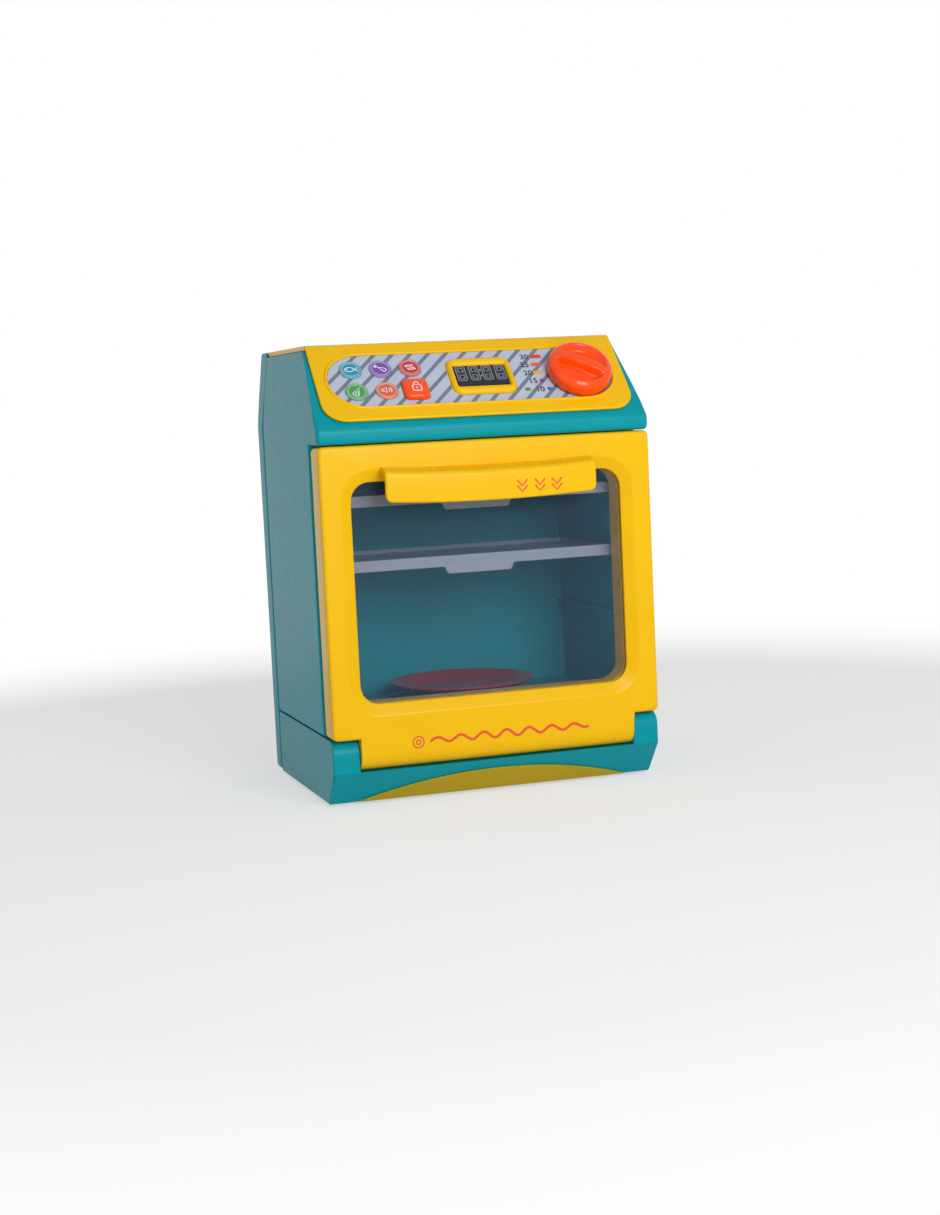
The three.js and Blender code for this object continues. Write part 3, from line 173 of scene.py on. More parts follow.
class OvenColours(bpy.types.PropertyGroup):
    """Colours of the oven's mouldings and print."""

    teal: colour("Teal", "Casing, liner and rear cover", "#0095A3")
    yellow: colour("Yellow", "Door and panel", "#F3BE00")
    mustard: colour("Mustard", "Arc of the base", "#B89C00")
    orange: colour("Orange", "Knob and power button", "#FF4E04")
    tray: colour("Tray", "Pull-out trays", "#B4BFD2")
    smoke: colour("Smoke", "Tint of the window", "#586A88")
    plate: colour("Plate", "Turntable plate", "#A82E2A")
    film: colour("Film", "Ground of the printed panel film", "#B7C1D4")
    stripe: colour("Stripe", "Stripes of the panel film", "#6F7A8B")
    screen: colour("Screen", "Display window", "#1B1E27")
    segment: colour("Segment", "Digits of the display", "#98A0AC")
    ink: colour("Ink", "Figures of the timer scale", "#2C3038")
    print_red: colour("Print red", "Print on the door", "#E04A16")
    blue_key: colour("Blue key", "First key", "#1792B0")
    purple_key: colour("Purple key", "Second key", "#7A4BA6")
    red_key: colour("Red key", "Third key", "#C23238")
    green_key: colour("Green key", "Fourth key", "#43984F")
    amber_key: colour("Amber key", "Fifth key", "#D8602E")
    mark: colour("Mark", "Pictograms on the keys", "#E6EEF6")


class OvenSizes(bpy.types.PropertyGroup):
    """Small sizes of the finish."""

    edge: length("Edge", "Rounding of a moulding's outer edges", 0.6)
    print_height: length("Print height", "How far print stands over its ground", 0.05)
    stripe_pitch: length("Stripe pitch", "Distance from stripe to stripe across the film", 10.55)
    stripe_width: length("Stripe width", "Width of one stripe across the film", 3.0)
    figure_height: length("Figure height", "Height of the timer scale's figures", 3.9)
    stroke: length("Stroke", "Line width of the pictograms", 0.55)
    edge_steps: IntProperty(
        name="Edge steps", description="Segments of a rounded edge", default=3, min=1, max=6
    )


class OvenView(bpy.types.PropertyGroup):
    """Camera of the reference view, in the photograph's pixels and the oven's millimetres."""

    focal: FloatProperty(name="Focal", description="Focal length in pixels of the view", default=1986.296)
    camera_x: length("Camera X", "Camera place across", -342.511)
    camera_y: length("Camera Y", "Camera place in depth", -1096.903)
    camera_z: length("Camera Z", "Camera place in height", 215.231)
    turn_x: FloatProperty(name="Turn X", description="Rotation vector, X", default=0.093, unit="ROTATION")
    turn_y: FloatProperty(name="Turn Y", description="Rotation vector, Y", default=-0.063, unit="ROTATION")
    turn_z: FloatProperty(name="Turn Z", description="Rotation vector, Z", default=0.311, unit="ROTATION")


def colours():
    """The scene's colour settings."""
    return bpy.context.scene.oven_colours


def sizes():
    """The scene's size settings."""
    return bpy.context.scene.oven_sizes


# Materials

# Where nearly all values of the noise lie, how deep a full grain is, and how uneven a moulding's roughness
NOISE_LOW, NOISE_HIGH = 0.3, 0.7
GRAIN_DEPTH = 0.1 * MM
UNEVEN = 0.06


def node(tree, kind, inputs=None, **settings):
    """Adds a shader node with its settings, and links or sets its inputs."""
    made = tree.nodes.new(kind)
    for name, value in settings.items():
        setattr(made, name, value)
    for socket, value in (inputs or {}).items():
        if isinstance(value, bpy.types.NodeSocket):
            tree.links.new(value, made.inputs[socket])
        else:
            made.inputs[socket].default_value = value
    return made


def new_material(name):
    """An empty node material, as (material, tree)."""
    material = bpy.data.materials.new(name)
    material.use_nodes = True
    material.node_tree.nodes.clear()
    return material, material.node_tree


def shade(tree, **inputs):
    """Ends a material with a principled shader; words of an input's name are joined by underscores."""
    shader = node(tree, "ShaderNodeBsdfPrincipled", {k.replace("_", " "): v for k, v in inputs.items()})
    output = tree.nodes.new("ShaderNodeOutputMaterial")
    tree.links.new(shader.outputs["BSDF"], output.inputs["Surface"])


def noise(tree, size_mm, detail=2.0, stretch=(1, 1, 1)):
    """Noise in object space whose patches are about size_mm across."""
    place = node(tree, "ShaderNodeTexCoord").outputs["Object"]
    scaled = node(tree, "ShaderNodeMapping", {"Vector": place, "Scale": stretch}).outputs["Vector"]
    pattern = {"Vector": scaled, "Scale": 1 / (size_mm * MM), "Detail": detail}
    return node(tree, "ShaderNodeTexNoise", pattern).outputs["Fac"]


def spread(tree, value, low, high):
    """A noise value carried to the range from low to high."""
    limits = {"From Min": NOISE_LOW, "From Max": NOISE_HIGH, "To Min": low, "To Max": high}
    return node(tree, "ShaderNodeMapRange", {"Value": value, **limits}).outputs["Result"]


def patchy(tree, tint, share, size_mm):
    """A colour whose lightness varies by a share either way over patches of size_mm."""
    lightness = spread(tree, noise(tree, size_mm), 1 - share, 1 + share)
    return node(tree, "ShaderNodeHueSaturation", {"Color": (*tint, 1), "Value": lightness}).outputs["Color"]


def grain(tree, size_mm, strength):
    """Normal of a grain; real grain is finer than 0.5 mm and is drawn at that or more so that it shows."""
    bump = {"Height": noise(tree, size_mm), "Strength": strength, "Distance": GRAIN_DEPTH}
    return node(tree, "ShaderNodeBump", bump).outputs["Normal"]


def moulded(name, tint, roughness=0.3, grain_mm=0.5, strength=0.05, gloss=0.28, **more):
    """Injection moulded ABS: flow patches 25 mm wide in its colour, tool grain and slightly uneven gloss."""
    material, tree = new_material(name)
    polish = noise(tree, size_mm=8.0, detail=4.0)
    shade(
        tree,
        Base_Color=patchy(tree, tint, share=0.015, size_mm=25.0),
        Roughness=spread(tree, polish, roughness * (1 - UNEVEN), roughness * (1 + UNEVEN)),
        Normal=grain(tree, grain_mm, strength),
        IOR=1.53,
        Specular_IOR_Level=gloss,
        **more,
    )
    return material


def teal_abs():
    """ABS dyed teal with a satin polish: soft wide highlights on the casing."""
    return moulded("satin_teal_abs", tuple(colours().teal), 0.34, gloss=0.1)


def yellow_abs():
    """ABS dyed yellow with a brighter polish: clear lines of light along its edges."""
    return moulded("glossy_yellow_abs", tuple(colours().yellow), 0.28, strength=0.02, gloss=0.16)


def mustard_abs():
    """The arc's thin yellow ABS, through which the teal under it makes the colour darker and greener."""
    return moulded("mustard_abs", tuple(colours().mustard), 0.3, strength=0.02, gloss=0.16)


def orange_abs():
    """ABS dyed orange-red, the glossiest moulding of the set."""
    return moulded("glossy_orange_abs", tuple(colours().orange), 0.2, strength=0.02)


def plate_plastic():
    """Dark red polystyrene, polished: a deep colour with an even gleam."""
    return moulded("glossy_dark_red_styrene", tuple(colours().plate), 0.22, strength=0.06)


def black_plastic():
    """Matt black polystyrene with a coarse spark-eroded grain, which breaks up every highlight."""
    return moulded("matt_black_styrene", srgb("#1C1D20"), 0.6, grain_mm=0.7, strength=0.4)


def white_acetal():
    """Unpainted white acetal of gears and posts: dull and a little waxy."""
    waxy = {"Subsurface_Weight": 0.1, "Subsurface_Scale": 1.5 * MM}
    return moulded("waxy_white_acetal", srgb("#EEEDE6"), 0.45, **waxy)


def key_plastic(tint_name):
    """Maker of one key's satin ABS; tint_name is the setting of its colour."""

    def make():
        return moulded(f"satin_{tint_name}_abs", tuple(getattr(colours(), tint_name)), 0.34)

    return make


def tray_plastic():
    """Translucent polypropylene with a bluish cast: milky, and what is behind it shows faintly."""
    material, tree = new_material("milky_polypropylene")
    shade(
        tree,
        Base_Color=patchy(tree, tuple(colours().tray), share=0.02, size_mm=18.0),
        Roughness=spread(tree, noise(tree, size_mm=6.0, detail=3.0), 0.28, 0.32),
        Normal=grain(tree, size_mm=0.6, strength=0.02),
        IOR=1.49,
        Specular_IOR_Level=0.35,
        Alpha=0.72,
    )
    return material


def window_plastic():
    """Clear polystyrene with a smoke tint, 1.6 mm thick: it darkens what is behind it and mirrors softly."""
    material, tree = new_material("smoke_clear_styrene")
    shade(
        tree,
        Base_Color=(*colours().smoke, 1),
        Roughness=spread(tree, noise(tree, size_mm=12.0, detail=3.0), 0.03, 0.07),
        IOR=1.59,
        Specular_IOR_Level=0.3,
        Alpha=0.12,
    )
    return material


def screen_plastic():
    """Dark tinted acrylic, polished flat over the digits: nearly black, with a soft mirror image."""
    material, tree = new_material("dark_polished_acrylic")
    shade(
        tree,
        Base_Color=patchy(tree, tuple(colours().screen), share=0.05, size_mm=7.0),
        Roughness=spread(tree, noise(tree, size_mm=5.0, detail=3.0), 0.12, 0.18),
        IOR=1.49,
        Specular_IOR_Level=0.25,
    )
    return material


# Stripes of the film: their rise over their run, where one crosses the middle, and how soft their edges are
STRIPE_SLOPE = 1.05
STRIPE_START = 3.2 * MM
STRIPE_SOFT = 0.1 * MM


def panel_film():
    """Printed polycarbonate film: pale ground with slanting grey stripes under a satin lacquer.

    The place across, less the height up the panel over the slope, is folded to the distance from the nearest
    stripe's middle, and the film is grey where that is under half a stripe.
    """
    material, tree = new_material("printed_satin_film")
    place = node(tree, "ShaderNodeTexCoord").outputs["Object"]
    shift = {0: place, 1: tuple(panel_origin)}
    centred = node(tree, "ShaderNodeVectorMath", shift, operation="SUBTRACT").outputs["Vector"]
    climb = {0: centred, 1: tuple(panel_up)}
    height = node(tree, "ShaderNodeVectorMath", climb, operation="DOT_PRODUCT").outputs["Value"]
    across = node(tree, "ShaderNodeSeparateXYZ", {"Vector": centred}).outputs["X"]
    leaning = {0: height, 1: 1 / STRIPE_SLOPE, 2: STRIPE_START}
    lean = node(tree, "ShaderNodeMath", leaning, operation="MULTIPLY_ADD").outputs["Value"]
    slant = node(tree, "ShaderNodeMath", {0: across, 1: lean}, operation="SUBTRACT").outputs["Value"]
    fold = {0: slant, 1: sizes().stripe_pitch / 2}
    folded = node(tree, "ShaderNodeMath", fold, operation="PINGPONG").outputs["Value"]
    half = sizes().stripe_width / 2
    edge = {"From Min": half - STRIPE_SOFT, "From Max": half + STRIPE_SOFT, "To Min": 1.0, "To Max": 0.0}
    band = node(tree, "ShaderNodeMapRange", {"Value": folded, **edge}).outputs["Result"]
    ground = patchy(tree, tuple(colours().film), share=0.02, size_mm=20.0)
    striped = {0: band, 6: ground, 7: (*colours().stripe, 1)}
    shade(
        tree,
        Base_Color=node(tree, "ShaderNodeMix", striped, data_type="RGBA").outputs[2],
        Roughness=spread(tree, noise(tree, size_mm=4.0, detail=3.0), 0.3, 0.36),
        Normal=grain(tree, size_mm=0.5, strength=0.02),
        IOR=1.58,
        Specular_IOR_Level=0.25,
    )
    return material


def printed(name, tint):
    """Screen-printed ink: matt, a trace uneven."""
    material, tree = new_material(name)
    shade(
        tree,
        Base_Color=patchy(tree, tint, share=0.04, size_mm=1.5),
        Roughness=spread(tree, noise(tree, size_mm=1.2), 0.4, 0.5),
        IOR=1.5,
    )
    return material


def zinc_metal():
    """Zinc-plated steel: bright, finely scratched by tumbling."""
    material, tree = new_material("bright_zinc_plate")
    shade(
        tree,
        Base_Color=patchy(tree, srgb("#B9BCC0"), share=0.05, size_mm=4.0),
        Roughness=spread(tree, noise(tree, size_mm=0.8, detail=4.0, stretch=(1, 6, 1)), 0.22, 0.38),
        Normal=grain(tree, size_mm=0.5, strength=0.1),
        Metallic=1.0,
    )
    return material


def cell_sleeve():
    """Plain graphite shrink sleeve over a steel can: dark, with a dull metal sheen."""
    material, tree = new_material("graphite_shrink_sleeve")
    shade(
        tree,
        Base_Color=patchy(tree, srgb("#3C4148"), share=0.05, size_mm=9.0),
        Roughness=spread(tree, noise(tree, size_mm=3.0, detail=3.0), 0.28, 0.36),
        Metallic=0.6,
    )
    return material


def solder_mask():
    """Green solder mask over glass epoxy: satin, with the weave of the glass as a faint unevenness."""
    material, tree = new_material("green_solder_mask")
    shade(
        tree,
        Base_Color=patchy(tree, srgb("#2F6B3C"), share=0.06, size_mm=3.0),
        Roughness=0.45,
        Normal=grain(tree, size_mm=0.6, strength=0.25),
        IOR=1.55,
    )
    return material


def foot_rubber():
    """Moulded rubber: dull with a slightly rough skin."""
    material, tree = new_material("matt_moulded_rubber")
    shade(
        tree,
        Base_Color=patchy(tree, srgb("#1B1B1C"), share=0.08, size_mm=4.0),
        Roughness=spread(tree, noise(tree, size_mm=2.0, detail=3.0), 0.75, 0.9),
        Normal=grain(tree, size_mm=0.6, strength=0.4),
        IOR=1.52,
    )
    return material


# What makes the material of each of the record's slots
MAKERS = {
    "teal_plastic": teal_abs,
    "yellow_plastic": yellow_abs,
    "orange_plastic": orange_abs,
    "tray_plastic": tray_plastic,
    "smoke_window": window_plastic,
    "dark_red_plastic": plate_plastic,
    "screen_plastic": screen_plastic,
    "label_sheet": panel_film,
    "circuit_board": solder_mask,
    "bright_metal": zinc_metal,
    "black_plastic": black_plastic,
    "white_plastic": white_acetal,
    "foot_rubber": foot_rubber,
    "cell_sleeve": cell_sleeve,
}
for tint_word in ("blue", "purple", "red", "green", "amber"):
    MAKERS[f"key_{tint_word}_plastic"] = key_plastic(f"{tint_word}_key")
made_materials = {}


def finish(slot):
    """The material of a record's slot, made once."""
    if slot not in made_materials:
        made_materials[slot] = MAKERS[slot]()
    return made_materials[slot]


# Meshes


def tidy_mesh(mesh, sharp_degrees=60):
    """Merges doubles, turns the faces outwards and shades smooth except over sharp edges."""
    work = bmesh.new()
    work.from_mesh(mesh)
    bmesh.ops.remove_doubles(work, verts=work.verts, dist=0.002 * MM)
    bmesh.ops.dissolve_degenerate(work, edges=work.edges, dist=0.001 * MM)
    bmesh.ops.recalc_face_normals(work, faces=work.faces)
    work.to_mesh(mesh)
    work.free()
    mesh.shade_smooth()
    mesh.set_sharp_from_angle(angle=math.radians(sharp_degrees))


def place_piece(mesh, name, body, material, replaces=()):
    """Links a mesh as a finished piece that rides on a body, and hides the CAD nodes that it replaces."""
    piece = bpy.data.objects.new(name, mesh)
    bpy.context.scene.collection.objects.link(piece)
    if not mesh.materials:
        mesh.materials.append(material)
    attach(piece, body)
    if replaces:
        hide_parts(*replaces)
    return piece


def place_moulded(mesh, name, carrier, slot):
    """Places a moulded surface that rides with the CAD node that carries it, in its slot's plastic."""
    place_piece(mesh, name, BODY_OF[carrier], finish(slot))


def place_print(lines, name, carrier, ink):
    """Joins lines of print to one piece that rides with the CAD node that they are printed on."""
    place_piece(joined(name, lines), name, BODY_OF[carrier], ink)


def surface(grid, cap_first=False, cap_last=False):
    """Mesh of a grid of points, rows by columns by 3: quads between neighbours, each row a closed loop."""
    rows, columns = grid.shape[:2]
    index = np.arange(rows * columns).reshape(rows, columns)
    right = np.roll(index, -1, axis=1)
    quads = np.stack([index[:-1], right[:-1], right[1:], index[1:]], -1).reshape(-1, 4)
    faces = quads.tolist()
    if cap_first:
        faces.append(index[0, ::-1].tolist())
    if cap_last:
        faces.append(index[-1].tolist())
    mesh = bpy.data.meshes.new("surface")
    mesh.from_pydata(grid.reshape(-1, 3).tolist(), [], faces)
    return mesh


def rotated(u, v, angle):
    """Plane points turned anticlockwise by an angle: (u cos - v sin, u sin + v cos)."""
    return u * np.cos(angle) - v * np.sin(angle), u * np.sin(angle) + v * np.cos(angle)


def round_angles(count):
    """Angles evenly round a whole circle, from 0."""
    return np.linspace(0, 2 * math.pi, count, endpoint=False)


def on_circle(centre, radius, angle):
    """Points of a circle at those angles, as rows by 2."""
    return np.stack([centre[0] + radius * np.cos(angle), centre[1] + radius * np.sin(angle)], 1)


def outline(corners, radii, inset=0.0, corner_steps=8, side_steps=1):
    """Closed outline as points by 2: each corner an arc tangent to its two sides, all moved inwards by inset.

    The corners run anticlockwise; a corner that turns left loses the inset from its radius and one that
    turns right gains it, so outlines of any inset have the same number of points and can be lofted.
    """
    corners = np.asarray(corners, float)
    radii = np.broadcast_to(np.asarray(radii, float), len(corners))
    ahead = np.roll(corners, -1, axis=0) - corners
    ahead /= np.linalg.norm(ahead, axis=1, keepdims=True)
    before = np.roll(ahead, 1, axis=0)
    turn = np.arctan2(before[:, 0] * ahead[:, 1] - before[:, 1] * ahead[:, 0], (before * ahead).sum(1))
    inward = np.stack([-before[:, 1], before[:, 0]], 1)
    middle = inward + np.stack([-ahead[:, 1], ahead[:, 0]], 1)
    middle /= np.linalg.norm(middle, axis=1, keepdims=True)
    moved = corners + middle * (inset / np.cos(turn / 2))[:, None]
    radius = np.maximum(radii - np.sign(turn) * inset, 1e-3 * MM)
    start = moved - before * (radius * np.tan(np.abs(turn) / 2))[:, None]
    centre = start + inward * (radius * np.sign(turn))[:, None]
    share = np.arange(corner_steps + 1) / corner_steps
    angle = turn[:, None] * share
    arm = start - centre
    arcs = np.stack(rotated(arm[:, :1], arm[:, 1:], angle), -1) + centre[:, None]
    sides = np.arange(1, side_steps)[:, None] / side_steps
    ends = arcs[:, -1][:, None]
    starts = np.roll(arcs[:, 0], -1, axis=0)[:, None]
    straight = ends + (starts - ends) * sides
    return np.concatenate([arcs, straight], 1).reshape(-1, 2)


def rectangle(centre, half):
    """Four corners of a rectangle, anticlockwise."""
    x, y = centre
    a, b = half
    return [(x - a, y - b), (x + a, y - b), (x + a, y + b), (x - a, y + b)]


def rounded_plate(corners, radii, low, high, edge, place, steps, crown=0.0):
    """Plate from low to high whose upper edge is a quarter round: a loft of outlines inset along that arc.

    With a crown, shrunk copies of its top outline rise over it as crown * (1 - share * share).
    """
    angle = np.linspace(0, math.pi / 2, steps + 1)
    insets = np.concatenate([[0.0], edge * (1 - np.cos(angle))])
    heights = np.concatenate([[low], high - edge + edge * np.sin(angle)])
    rows = [place(*outline(corners, radii, inset).T, height) for inset, height in zip(insets, heights)]
    if crown:
        flat = outline(corners, radii, insets[-1])
        middle = flat.mean(0)
        for share in (0.8, 0.55, 0.25):
            shrunk = middle + (flat - middle) * share
            rows.append(place(*shrunk.T, high + crown * (1 - share**2)))
    return surface(np.stack(rows), cap_first=True, cap_last=True)


def turned(radii, heights, centre, place, steps=96):
    """Surface of revolution about the placing function's third axis through centre.

    Radius and height are arrays; a point is (centre + radius * (cos, sin) of the angle, height).
    """
    angle = round_angles(steps)
    across = centre[0] + radii[:, None] * np.cos(angle)
    up = centre[1] + radii[:, None] * np.sin(angle)
    mesh = surface(place(across, up, heights[:, None] + 0 * angle), cap_first=True, cap_last=True)
    tidy_mesh(mesh)
    return mesh


def smooth(low, high, value):
    """Smooth step of value from 0 at low to 1 at high."""
    share = np.clip((value - low) / (high - low), 0, 1)
    return share**2 * (3 - 2 * share)


def ring(outer, inner, base, crest, place, steps):
    """Pillowed ring between two outlines: s runs across it, and its height is a flattened half sine of s."""
    flatness = 0.55
    share = (1 - np.cos(np.linspace(0, math.pi, steps + 1))) / 2
    flat = outer[None] + (inner - outer)[None] * share[:, None, None]
    height = base + (crest - base) * np.sin(math.pi * share) ** flatness
    grid = place(flat[..., 0], flat[..., 1], height[:, None] + 0 * flat[..., 0])
    mesh = surface(np.concatenate([grid, grid[:1]]))
    tidy_mesh(mesh)
    return mesh


def disc_line(centre, radius, count=48):
    """Points of a whole circle, as count by 2."""
    return on_circle(centre, radius, round_angles(count))


def lettering(body, height, centre, place, thick):
    """Raised figures: the built-in face's outline scaled to that height, centred and carried onto place.

    The face is made bolder by an offset, and its depth is scaled to thick.
    """
    curve = bpy.data.curves.new("figures", "FONT")
    curve.body = body
    curve.extrude = 0.5
    curve.offset = 0.025
    holder = bpy.data.objects.new("figures", curve)
    mesh = bpy.data.meshes.new_from_object(holder)
    bpy.data.objects.remove(holder)
    points = points_of(mesh)
    low, high = points.min(0), points.max(0)
    flat = (points - (low + high) / 2) * height / (high[1] - low[1])
    out = (points[:, 2] - low[2]) / (high[2] - low[2]) * thick
    mesh.vertices.foreach_set("co", place(centre[0] + flat[:, 0], centre[1] + flat[:, 1], out).ravel())
    mesh.materials.clear()
    return mesh


def stroke(path, width, height, place, closed=False, section_points=7):
    """Raised line along a path of points by 2: a half-round section of that width carried along it."""
    path = np.asarray(path, float)
    if closed:
        ahead = np.roll(path, -1, axis=0) - np.roll(path, 1, axis=0)
    else:
        ahead = np.gradient(path, axis=0)
    ahead /= np.linalg.norm(ahead, axis=1, keepdims=True)
    aside = np.stack([-ahead[:, 1], ahead[:, 0]], 1)
    angle = np.linspace(0, math.pi, section_points)
    reach = width / 2 * np.cos(angle)
    rise = height * np.sin(angle)
    flat = path[:, None] + aside[:, None] * reach[None, :, None]
    points = place(flat[..., 0], flat[..., 1], np.broadcast_to(rise, flat.shape[:2]))
    if closed:
        points = np.concatenate([points, points[:1]])
    return surface(points, cap_first=not closed, cap_last=not closed)


def joined(name, meshes):
    """One mesh of several, each keeping its own material index."""
    work = bmesh.new()
    for mesh in meshes:
        work.from_mesh(mesh)
    whole = bpy.data.meshes.new(name)
    work.to_mesh(whole)
    work.free()
    return whole


def room_beside(edge):
    """How far the narrower of an edge's two faces reaches from it."""
    start = edge.verts[0].co
    along = (edge.verts[1].co - start).normalized()
    return min(max((v.co - start).cross(along).length for v in face.verts) for face in edge.link_faces)


# Which edges are rounded, by what share of their room at most, and the least share of the width worth drawing
SHARP_EDGE = math.radians(23)
ROOM_SHARE = 0.42
LEAST_SHARE = 0.1


def moulding(name, width=None, shape=None, cut=None, material=None):
    """Finished copy of a CAD node: merged, its edges rounded by width or as room allows, its flats kept.

    shape is an optional function that moves the copy's points, given and returned as rows by 3, and cut an
    optional plane (point, normal) in front of which the copy is taken away and closed.
    """
    source = frame["nodes"][name]
    mesh = source.data.copy()
    mesh.materials.clear()
    work = bmesh.new()
    work.from_mesh(mesh)
    bmesh.ops.remove_doubles(work, verts=work.verts, dist=0.005 * MM)
    if cut:
        every = [*work.verts, *work.edges, *work.faces]
        bmesh.ops.bisect_plane(work, geom=every, plane_co=cut[0], plane_no=cut[1], clear_outer=True)
        bmesh.ops.holes_fill(work, edges=[edge for edge in work.edges if edge.is_boundary])
    bmesh.ops.dissolve_limit(work, angle_limit=math.radians(0.5), verts=work.verts, edges=work.edges)
    weight = work.edges.layers.float.new("bevel_weight_edge")
    width = sizes().edge if width is None else width
    for edge in work.edges:
        sharp = edge.is_manifold and edge.calc_face_angle(0) > SHARP_EDGE
        share = min(1.0, ROOM_SHARE * room_beside(edge) / width) if sharp else 0.0
        edge[weight] = share if share > LEAST_SHARE else 0.0
    bmesh.ops.triangulate(work, faces=[face for face in work.faces if len(face.verts) > 4])
    work.to_mesh(mesh)
    work.free()
    if shape:
        mesh.vertices.foreach_set("co", shape(points_of(mesh)).ravel())
        mesh.update()
    mesh.shade_smooth()
    material = material or finish(SLOT_OF[name])
    piece = place_piece(mesh, f"{name}_finish", BODY_OF[name], material, [name])
    bevel = piece.modifiers.new("edges", "BEVEL")
    bevel.limit_method = "WEIGHT"
    bevel.width = width
    bevel.segments = sizes().edge_steps
    bevel.use_clamp_overlap = False
    bevel.harden_normals = False
    flats = piece.modifiers.new("flats", "WEIGHTED_NORMAL")
    flats.weight = 100


def tucked(centre, floor, share, keep):
    """Shape that hides a cap under its finished piece: over floor it narrows to share and lowers to keep."""

    def shape(points):
        local = in_panel(points)
        above = local[:, 2] > floor
        local[above, :2] = centre + (local[above, :2] - centre) * share
        local[above, 2] = floor + (local[above, 2] - floor) * keep
        return on_panel(*local.T)

    return shape


def arc_drawn_up(points):
    """Shape of the base's yellow arc: points move up the kick by ARC_LIFT and ARC_GROWTH of their height.

    The way up the kick is the arc's second longest direction, the second axis of its singular values.
    """
    middle = points.mean(0)
    up = np.linalg.svd(points - middle, full_matrices=False)[2][1]
    up = up * np.sign(up[2])
    height = (points - middle) @ up
    height = height - height.min()
    return points + np.outer(ARC_GROWTH * height + ARC_LIFT, up)


# Stage


def seen_ray(tree):
    """1 for the rays that show a background: from the camera, off gloss or through clear plastic."""
    path = node(tree, "ShaderNodeLightPath")
    seen = path.outputs["Is Camera Ray"]
    for other in ("Is Glossy Ray", "Is Transmission Ray"):
        seen = node(tree, "ShaderNodeMath", {0: seen, 1: path.outputs[other]}, operation="MAXIMUM").outputs[0]
    return seen


def rotation_of(vector):
    """Rotation matrix of a rotation vector, as a numpy array."""
    vector = Vector(vector)
    return np.array(Matrix.Rotation(vector.length, 3, vector.normalized()))


class OVEN_OT_stage(bpy.types.Operator):
    """Sets the camera, the floor and soft studio light"""

    bl_idname = "oven.stage"
    bl_label = "Stage"

    def execute(self, context):
        scene = context.scene
        self.camera(scene)
        self.floor(scene)
        self.lights(scene)
        scene.view_settings.view_transform = "Standard"
        return {"FINISHED"}

    def camera(self, scene):
        """Camera of the reference view: its rows are right, down and forward in the oven's frame."""
        view = scene.oven_view
        frame_height = 1215
        data = bpy.data.cameras.new("reference_camera")
        data.sensor_width = 36
        data.lens = view.focal / frame_height * data.sensor_width
        data.clip_start, data.clip_end = 0.05, 20
        level = np.array([[1, 0, 0], [0, 0, -1], [0, 1, 0]])
        right, down, forward = level @ rotation_of((view.turn_x, view.turn_y, view.turn_z))
        camera = bpy.data.objects.new("reference_camera", data)
        turned_to = Matrix(np.stack([right, -down, -forward], 1).tolist()).to_4x4()
        place = Vector((view.camera_x, view.camera_y, view.camera_z))
        camera.matrix_world = Matrix.Translation(place) @ turned_to
        scene.collection.objects.link(camera)
        scene.camera = camera

    def floor(self, scene):
        """Plain pale floor that keeps the oven's shadow and is drawn white further out.

        Its share of white, for the rays that show a background, is least near the oven and 1 from far on.
        """
        reach, near, far, least = 6.0, 0.12, 0.8, 0.55
        mesh = bpy.data.meshes.new("floor")
        corners = [(-reach, -reach, 0), (reach, -reach, 0), (reach, reach, 0), (-reach, reach, 0)]
        mesh.from_pydata(corners, [], [(0, 1, 2, 3)])
        floor = bpy.data.objects.new("floor", mesh)
        scene.collection.objects.link(floor)
        material, tree = new_material("pale_floor")
        place = node(tree, "ShaderNodeTexCoord").outputs["Object"]
        away = node(tree, "ShaderNodeVectorMath", {0: place}, operation="LENGTH").outputs["Value"]
        limits = {"Value": away, "From Min": near, "From Max": far}
        outside = node(tree, "ShaderNodeMapRange", limits, interpolation_type="SMOOTHSTEP").outputs["Result"]
        whiter = node(tree, "ShaderNodeMath", {0: outside, 1: least}, operation="MAXIMUM").outputs[0]
        shown = node(tree, "ShaderNodeMath", {0: whiter, 1: seen_ray(tree)}, operation="MULTIPLY").outputs[0]
        matt = node(tree, "ShaderNodeBsdfDiffuse", {"Color": (*srgb("#FAFAF9"), 1)})
        white = node(tree, "ShaderNodeEmission", {"Color": (1, 1, 1, 1), "Strength": 1.0})
        mixed = node(tree, "ShaderNodeMixShader", {0: shown, 1: matt.outputs[0], 2: white.outputs[0]})
        output = tree.nodes.new("ShaderNodeOutputMaterial")
        tree.links.new(mixed.outputs[0], output.inputs["Surface"])
        mesh.materials.append(material)

    def lights(self, scene):
        """White world and two large lamps, level enough that colours render as they are written."""
        middle = Vector((0, 0, 0.12))
        world = bpy.data.worlds.new("studio")
        world.use_nodes = True
        tree = world.node_tree
        tree.nodes.clear()
        dim = node(tree, "ShaderNodeBackground", {"Color": (1, 1, 1, 1), "Strength": 0.36})
        bright = node(tree, "ShaderNodeBackground", {"Color": (1, 1, 1, 1), "Strength": 1.0})
        either = {0: seen_ray(tree), 1: dim.outputs[0], 2: bright.outputs[0]}
        mixed = node(tree, "ShaderNodeMixShader", either)
        output = tree.nodes.new("ShaderNodeOutputWorld")
        tree.links.new(mixed.outputs[0], output.inputs["Surface"])
        scene.world = world
        for name, place, energy, side in (
            ("key_lamp", (0.15, -1.4, 0.6), 12.2, 0.6),
            ("fill_lamp", (-1.1, -0.8, 0.5), 0.5, 0.9),
        ):
            data = bpy.data.lights.new(name, "AREA")
            data.energy, data.size = energy, side
            lamp = bpy.data.objects.new(name, data)
            lamp.location = place
            aim = middle - Vector(place)
            lamp.rotation_mode = "QUATERNION"
            lamp.rotation_quaternion = aim.to_track_quat("-Z", "Y")
            scene.collection.objects.link(lamp)


